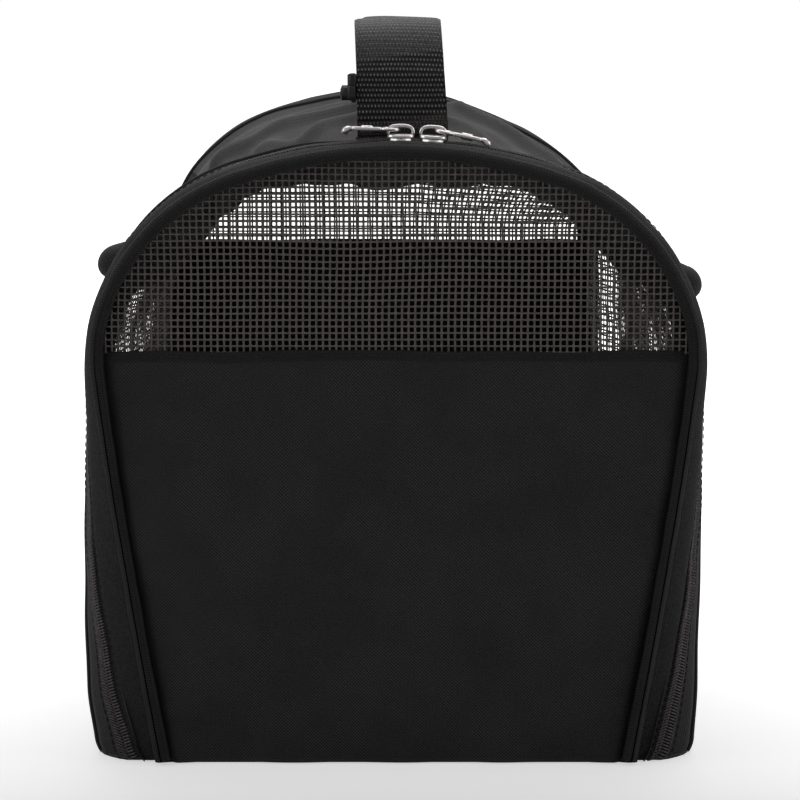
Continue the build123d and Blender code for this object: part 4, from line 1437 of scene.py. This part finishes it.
def smooth_slab(outline, low, high, round_over=0.0004):
    """Flat plate with a rounded rim from an outline of XY points."""
    outline = np.asarray(outline, float)
    centre = outline.mean(0)
    reach = outline - centre
    middle = centre + reach * 0.25
    face = centre + reach * (1 - round_over / np.linalg.norm(reach, axis=1)[:, None])
    levels = (
        (middle, low), (face, low), (outline, low + round_over),
        (outline, high - round_over), (face, high), (middle, high),
    )
    verts = np.concatenate([np.column_stack([ring, np.full(len(ring), level)]) for ring, level in levels])
    faces = ring_faces(len(levels), len(outline)) + ring_ends(len(levels), len(outline))
    return verts, faces, verts[:, :2]


def slider_body(x):
    """Zip slider: one plate with side flanges below it and the arched bail."""
    z = box_of("slider_left")[0][2]
    length, width = 0.0058, 0.0044
    outline = []
    for t in np.linspace(0, 2 * math.pi, 40, endpoint=False):
        px = length * math.copysign(abs(math.cos(t)) ** 0.55, math.cos(t))
        pinch = 1 - 0.16 * (px / length) ** 2
        outline.append((px, ZIP_Y + width * pinch * math.copysign(abs(math.sin(t)) ** 0.6, math.sin(t))))
    parts = [smooth_slab(outline, z, z + 0.0022)]
    for side in (-1, 1):
        near, far = (ZIP_Y + side * (width - 0.0005) + dy for dy in (-0.0005, 0.0005))
        flange = ((-0.0044, near), (0.0044, near), (0.0044, far), (-0.0044, far))
        parts.append(smooth_slab(flange, z - 0.0014, z + 0.0005, 0.0002))
    angles = np.linspace(0, math.pi, 26)
    path = np.stack([
        -0.0054 * np.sign(np.cos(angles)) * np.abs(np.cos(angles)) ** 0.7, ZIP_Y + 0 * angles,
        z + 0.0016 + 0.0043 * np.sin(angles) ** 0.5,
    ], 1)
    parts.append(ribbon(path, 0.0028, 0.0014))
    verts, faces, uv = merge(parts)
    return crown_turn(verts, x), faces, uv


def pull(x, side):
    """Pull: eye round the bail, flat tapering blade with a raised pad, hooked ball at the end."""
    pin_x = 0.0023
    pin_z = box_of("slider_left")[0][2] + 0.0042
    lean = math.radians(8 if side > 0 else -1)
    turn = np.linspace(0, 2 * math.pi, 36, endpoint=False)
    eye = np.stack([0.0026 + 0.0036 * np.cos(turn), 0.0027 * np.sin(turn), 0 * turn], 1)
    parts = [tube(eye, 0.00085, sides=10, closed=True, up=(0, 0, 1))]
    blade = ((0.0054, 0.0014), (0.0068, 0.0024), (0.0085, 0.0027), (0.0170, 0.0020), (0.0192, 0.0015))
    outline = [(px, -half) for px, half in blade] + [(px, half) for px, half in reversed(blade)]
    parts.append(smooth_slab(outline, -0.0008, 0.0008, 0.0003))
    pad = ((0.0098, -0.0020), (0.0150, -0.0017), (0.0150, 0.0017), (0.0098, 0.0020))
    parts.append(smooth_slab(pad, -0.0014, 0.0014, 0.0004))
    hook = [(0.0186, 0, 0.0), (0.0202, 0, -0.0002), (0.0216, 0, -0.0010), (0.0222, 0, -0.0024)]
    parts.append(tube(hook, [0.0010, 0.0013, 0.0016, 0.0015], sides=12))
    verts, faces, uv = merge(parts)
    px, py, pz = verts.T
    turned = np.stack([
        side * (pin_x + px * math.cos(lean) + pz * math.sin(lean)), ZIP_Y + py,
        pin_z - px * math.sin(lean) + pz * math.cos(lean),
    ], 1)
    if side < 0:
        faces = [f[::-1] for f in faces]
    return crown_turn(turned, x), faces, uv


def mat():
    """Fleece mat: crowned pad with a soft rolled edge and tufted top."""
    low, high = box_of("fleece_mat")
    rows, cols = 110, 70
    v = np.linspace(-1, 1, rows)[:, None]
    u = np.linspace(-1, 1, cols)[None, :]
    half_y = high[1]
    y = half_y * v + 0 * u
    half_x = high[0] - corner_tuck(y, low[2])
    x = u * half_x
    edge = np.minimum((1 - np.abs(u)) * half_x, half_y - np.abs(y))
    crown = np.sqrt(np.clip(1 - (1 - np.clip(edge / 0.011, 0, 1)) ** 2, 0, 1))
    quilt = 0.0010 * waves(x, y, 8, 0.07, 101)
    tuft = 0.0005 * waves(x, y, 8, 0.008, 102)
    thick = high[2] - low[2]
    top = low[2] + thick * (0.5 + 0.5 * crown) + (quilt + tuft) * crown
    bottom = low[2] + thick * 0.5 * (1 - crown) + 0 * top
    uv = np.stack([x + 0 * top, y], -1)
    upper = np.stack([x, y, top], -1).reshape(-1, 3)
    lower = np.stack([x, y, bottom], -1).reshape(-1, 3)
    index = np.arange(rows * cols).reshape(rows, cols)
    faces = grid_quads(index)[..., [0, 3, 2, 1]].reshape(-1, 4)
    faces = np.concatenate([faces, faces[:, ::-1] + rows * cols])
    rim = np.concatenate([index[:, 0], index[-1, 1:], index[-2::-1, -1], index[0, -2::-1]])
    ring = np.stack([rim[:-1], rim[1:], rim[1:] + rows * cols, rim[:-1] + rows * cols], 1)
    faces = np.concatenate([faces, ring])
    return np.concatenate([upper, lower]), faces.tolist(), np.concatenate([uv.reshape(-1, 2)] * 2)


def floor_pad():
    """Floor panel with rounded corners and a rolled lower edge."""
    v = np.sin(np.linspace(-1, 1, 90) * math.pi / 2)[:, None]
    u = np.linspace(-1, 1, 40)[None, :]
    y = FLOOR_HALF_LENGTH * v + 0 * u
    belly = wall_belly(u, y, 0.0)
    half_x = FLOOR_HALF_WIDTH - HEM_CURL * 0.5 - corner_tuck(y, 0.0) - end_inset(y) * 0.6 + belly
    x = u * half_x
    edge = np.minimum((1 - np.abs(u)) * half_x, FLOOR_HALF_LENGTH - np.abs(y))
    roll = np.clip(1 - edge / 0.004, 0, 1) ** 2
    points = np.stack([x, y - zip_swing(y, 0.0), 0.0026 - 0.0012 * roll], -1)
    return sheet(points, PADDED, np.stack([x, y], -1), facing(points, (0, 0, 1)))


def side_tab():
    """Folded loop of narrow webbing sewn into the side seam."""
    low, high = box_of("side_tab")
    middle = (low + high) / 2
    reach = (high[0] - low[0]) * 0.42
    angles = np.linspace(-math.pi * 0.55, math.pi * 0.55, 24)
    x = high[0] - 0.0010 - reach * 0.62 - (reach * 0.32) * np.cos(angles)
    z = middle[2] + 0.0030 * np.sin(angles)
    start = np.array([[high[0] + 0.001, z[0]]])
    stop = np.array([[high[0] + 0.001, z[-1]]])
    line = np.concatenate([start, np.stack([x, z], 1), stop])
    path = np.stack([line[:, 0], np.full(len(line), middle[1]), line[:, 1]], 1)
    return ribbon(path, 0.010, 0.0012)


def end_stop_pair():
    """Small metal stops clamped over the two ends of the zip."""
    parts = []
    for side in (-1, 1):
        s = side * (arc_at_height(DOOR_SKIRT_Z) + 0.0005)
        parts.append(many_blocks(*row_on_skin(ZIP_Y, np.array([s]), 0.0004), (0.0022, 0.0034, 0.0020)))
    return merge(parts)


def hinge_strip():
    """Bound edge between the door and the floor, gently wavy."""
    half = box_of("hinge_binding")[1][0]
    x = np.linspace(-half, half, 80)
    lift = 0.0006 * waves(x, x * 0, 4, 0.08, 111)
    path = np.stack([x, np.full(80, -PANEL_Y + 0.0026), 0.0020 + lift * 0.5], 1)
    return tube(path, 0.0018, sides=10, flatten=0.9, up=(0, 0, 1))


# ---- build ------------------------------------------------------------------------------------------

def build(name, data, material, body, node):
    """Make one piece from (verts, faces, uvs), put it on its body and hide the CAD node it stands for."""
    verts, faces, uvs = data
    piece = make_object(name, verts, faces, material, uvs)
    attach(piece, body)
    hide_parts(node)


def build_door():
    """Everything that swings with the door."""
    low = arc_at_height(HEM_Z)
    front = -PIPING_Y + PIPING_RADIUS
    build("door_panel_cloth", end_panel(-1, HEM_Z), DOOR_CLOTH, "door", "door_panel")
    build("door_window_net", end_net(-1, 41), MESH_STRAND, "door", "door_mesh")
    build("door_seam_hem", end_hem(-1), BINDING_TAPE, "door", "door_hem")
    build("door_piping_cord", end_piping(-1, 0.0012), PIPING_CLOTH, "door", "door_piping")
    back = ZIP_Y - COIL_HALF - 0.0010
    gusset = skin_strip(
        front - 0.0012, back, -low, low, 0.0004, CLOTH, 0.002, 0.0010, edge_roll=0.0008, puff=0.0018,
    )
    seam = stitch_row(ZIP_Y - COIL_HALF - 0.0026, low, -0.0004)
    build("door_gusset_cloth", merge([gusset, seam]), GUSSET_CLOTH, "door", "door_gusset")
    tape = zip_tape(ZIP_Y - COIL_HALF - TAPE_REACH, ZIP_Y - 0.0001)
    build("door_tape", tape, ZIP_TAPE, "door", "door_zip_tape")
    build("door_coil", coil_half(-1), COIL, "door", "door_zip_coil")


def build_shell():
    """The sewn bag: zip side of the body, rear end, walls, roof, floor, hoops and handle feet."""
    low = arc_at_height(HEM_Z)
    band_start = ZIP_Y + COIL_HALF + 0.0010
    band = skin_strip(band_start, -BAND_Y - 0.0004, -low, low, 0, CLOTH, 0.002, 0.0012, edge_roll=0.0008)
    seam = stitch_row(band_start + 0.0016, low)
    s = np.linspace(-low, low, 420)
    ridge = tube(skin(s, -BAND_Y, -0.0001), EDGE_RIDGE, sides=8, up=(0, 1, 0))
    build("front_band_cloth", merge([band, seam, ridge]), SIDE_CLOTH, "bag", "front_band")
    tape = zip_tape(ZIP_Y + 0.0001, ZIP_Y + COIL_HALF + TAPE_REACH)
    build("body_tape", tape, ZIP_TAPE, "bag", "body_zip_tape")
    build("body_coil", coil_half(1), COIL, "bag", "body_zip_coil")
    rear_end = PIPING_Y - PIPING_RADIUS + 0.0012
    rear = skin_strip(BAND_Y + 0.0004, rear_end, -low, low, 0, CLOTH, edge_roll=0.0010)
    rear_ridge = tube(skin(s, BAND_Y, -0.0001), EDGE_RIDGE, sides=8, up=(0, 1, 0))
    build("rear_gusset_cloth", merge([rear, rear_ridge]), SIDE_CLOTH, "bag", "rear_gusset")
    build("rear_panel_cloth", end_panel(1, SKIRT_Z, seed=35), DOOR_CLOTH, "bag", "rear_panel")
    build("rear_window_net", end_net(1, 45), MESH_STRAND, "bag", "rear_mesh")
    build("rear_seam_hem", end_hem(1), BINDING_TAPE, "bag", "rear_hem")
    build("rear_piping_cord", end_piping(1, 0.0012), PIPING_CLOTH, "bag", "rear_piping")
    for side, word in ((-1, "left"), (1, "right")):
        build(f"side_wall_{word}", side_wall(side), SIDE_CLOTH, "bag", f"side_panel_{word}")
        build(f"side_net_{word}", side_net(side), MESH_STRAND, "bag", f"side_mesh_{word}")
        build(f"window_trim_{word}", window_trim(side), BINDING_TAPE, "bag", f"window_binding_{word}")
        build(f"rolled_cover_{word}", cover_roll(side), COVER_CLOTH, "bag", f"cover_roll_{word}")
        build(f"elastic_ties_{word}", cover_ties(side), ELASTIC, "bag", f"cover_ties_{word}")
    roof = skin_strip(-BAND_Y, BAND_Y, -ROOF_ARC + 0.0002, ROOF_ARC - 0.0002, 0, PADDED, 0.0024, 0.0024)
    build("roof_cloth_panel", roof, ROOF_CLOTH, "bag", "roof_panel")
    build("floor_cloth_panel", floor_pad(), FLOOR_CLOTH, "bag", "floor_panel")
    build("door_hinge_strip", hinge_strip(), BINDING_TAPE, "bag", "hinge_binding")
    build("zip_stops", end_stop_pair(), STOP_METAL, "bag", "zip_end_stops")
    build("webbing_tab", side_tab(), WEBBING, "bag", "side_tab")
    for end, word in ((-1, "front"), (1, "rear")):
        build(f"{word}_hoop_wire", hoop_wire(end), WIRE, "bag", f"{word}_hoop")
        build(f"{word}_sleeve", hoop_sleeve(end), SLEEVE_CLOTH, "bag", f"{word}_hoop_sleeve")
        build(f"{word}_handle_patch", foot_patch(end), WEBBING, "bag", f"handle_foot_{word}")


def build_handle():
    """Carrying strap, which bends between its sewn feet and its risers, and the clip on it."""
    verts, faces, uvs = handle_strap()
    strap = make_object("carry_strap", verts, faces, WEBBING, uvs)
    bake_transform(strap)
    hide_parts("handle_strap")
    build("strap_keeper", keeper(), KEEPER_PLASTIC, "handle", "handle_keeper")


def build_sliders():
    """The two zip sliders with their pulls."""
    for side, word in ((-1, "left"), (1, "right")):
        low, high = box_of(f"slider_{word}")
        x = (low[0] + high[0]) / 2
        build(f"zip_slider_{word}", slider_body(x), METAL, f"{word}_slider", f"slider_{word}")
        build(f"zip_pull_{word}", pull(x, side), METAL, f"{word}_pull", f"pull_{word}")


def build_inside():
    """Mat, and the base board, which keeps its CAD shape."""
    build("fleece_pad", mat(), FLEECE, "mat", "fleece_mat")
    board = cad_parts["base_board"]
    board.data.materials.clear()
    board.data.materials.append(BOARD_PLASTIC)


build_door()
build_shell()
build_handle()
build_sliders()
build_inside()


# ---- stage ------------------------------------------------------------------------------------------

WORLD_LIGHT = 0.25
LAMPS = (                                          # name, place, aim, size, power
    ("top_softbox", (0.0, 0.55, 1.5), (0.0, 0.05, 0.2), 1.6, 16.0),
    ("left_softbox", (-1.5, -0.6, 0.9), (0.0, 0.0, 0.15), 1.0, 5.5),
    ("right_softbox", (1.5, -0.4, 0.9), (0.0, 0.0, 0.15), 1.0, 5.0),
)
CAMERA_PLACE = (0.0017, -1.339, 0.362)
CAMERA_TILT = math.radians(80.0)
CAMERA_LENS = 118.8


def studio_world():
    """White to the camera, softer white as light."""
    world = bpy.data.worlds.new("studio")
    world.use_nodes = True
    tree = world.node_tree
    seen = tree.nodes["Background"]
    seen.inputs["Color"].default_value = (1, 1, 1, 1)
    light = tree.nodes.new("ShaderNodeBackground")
    light.inputs["Color"].default_value = (1, 1, 1, 1)
    light.inputs["Strength"].default_value = WORLD_LIGHT
    ray = tree.nodes.new("ShaderNodeLightPath")
    mix = tree.nodes.new("ShaderNodeMixShader")
    tree.links.new(ray.outputs["Is Camera Ray"], mix.inputs[0])
    tree.links.new(light.outputs[0], mix.inputs[1])
    tree.links.new(seen.outputs[0], mix.inputs[2])
    tree.links.new(mix.outputs[0], tree.nodes["World Output"].inputs["Surface"])
    return world


def build_stage():
    """Floor, background and lights, none of which belong to the object."""
    floor = make_object(
        "studio_floor", [(-6, -6, 0), (6, -6, 0), (6, 6, 0), (-6, 6, 0)], [[0, 1, 2, 3]],
        studio_floor("studio_floor"), [(0, 0), (1, 0), (1, 1), (0, 1)], smooth_shade=False,
    )
    floor.location.z = -0.0002
    scene = bpy.context.scene
    scene.world = studio_world()
    scene.view_settings.view_transform = "Standard"
    for name, spot, aim, size, power in LAMPS:
        light = bpy.data.lights.new(name, "AREA")
        light.size = size
        light.energy = power
        lamp = bpy.data.objects.new(name, light)
        lamp.location = spot
        direction = np.array(aim) - np.array(spot)
        yaw = math.atan2(direction[0], -direction[1])
        tilt = math.atan2(math.hypot(direction[0], direction[1]), -direction[2])
        lamp.rotation_euler = (tilt, 0, math.pi + yaw)
        scene.collection.objects.link(lamp)


def build_camera():
    """Camera in front of the door, a little above it."""
    camera = bpy.data.cameras.new("camera")
    camera.lens = CAMERA_LENS
    camera.sensor_width = 36.0
    holder = bpy.data.objects.new("camera", camera)
    holder.location = CAMERA_PLACE
    holder.rotation_euler = (CAMERA_TILT, 0, 0)
    bpy.context.scene.collection.objects.link(holder)
    bpy.context.scene.camera = holder


build_stage()
build_camera()
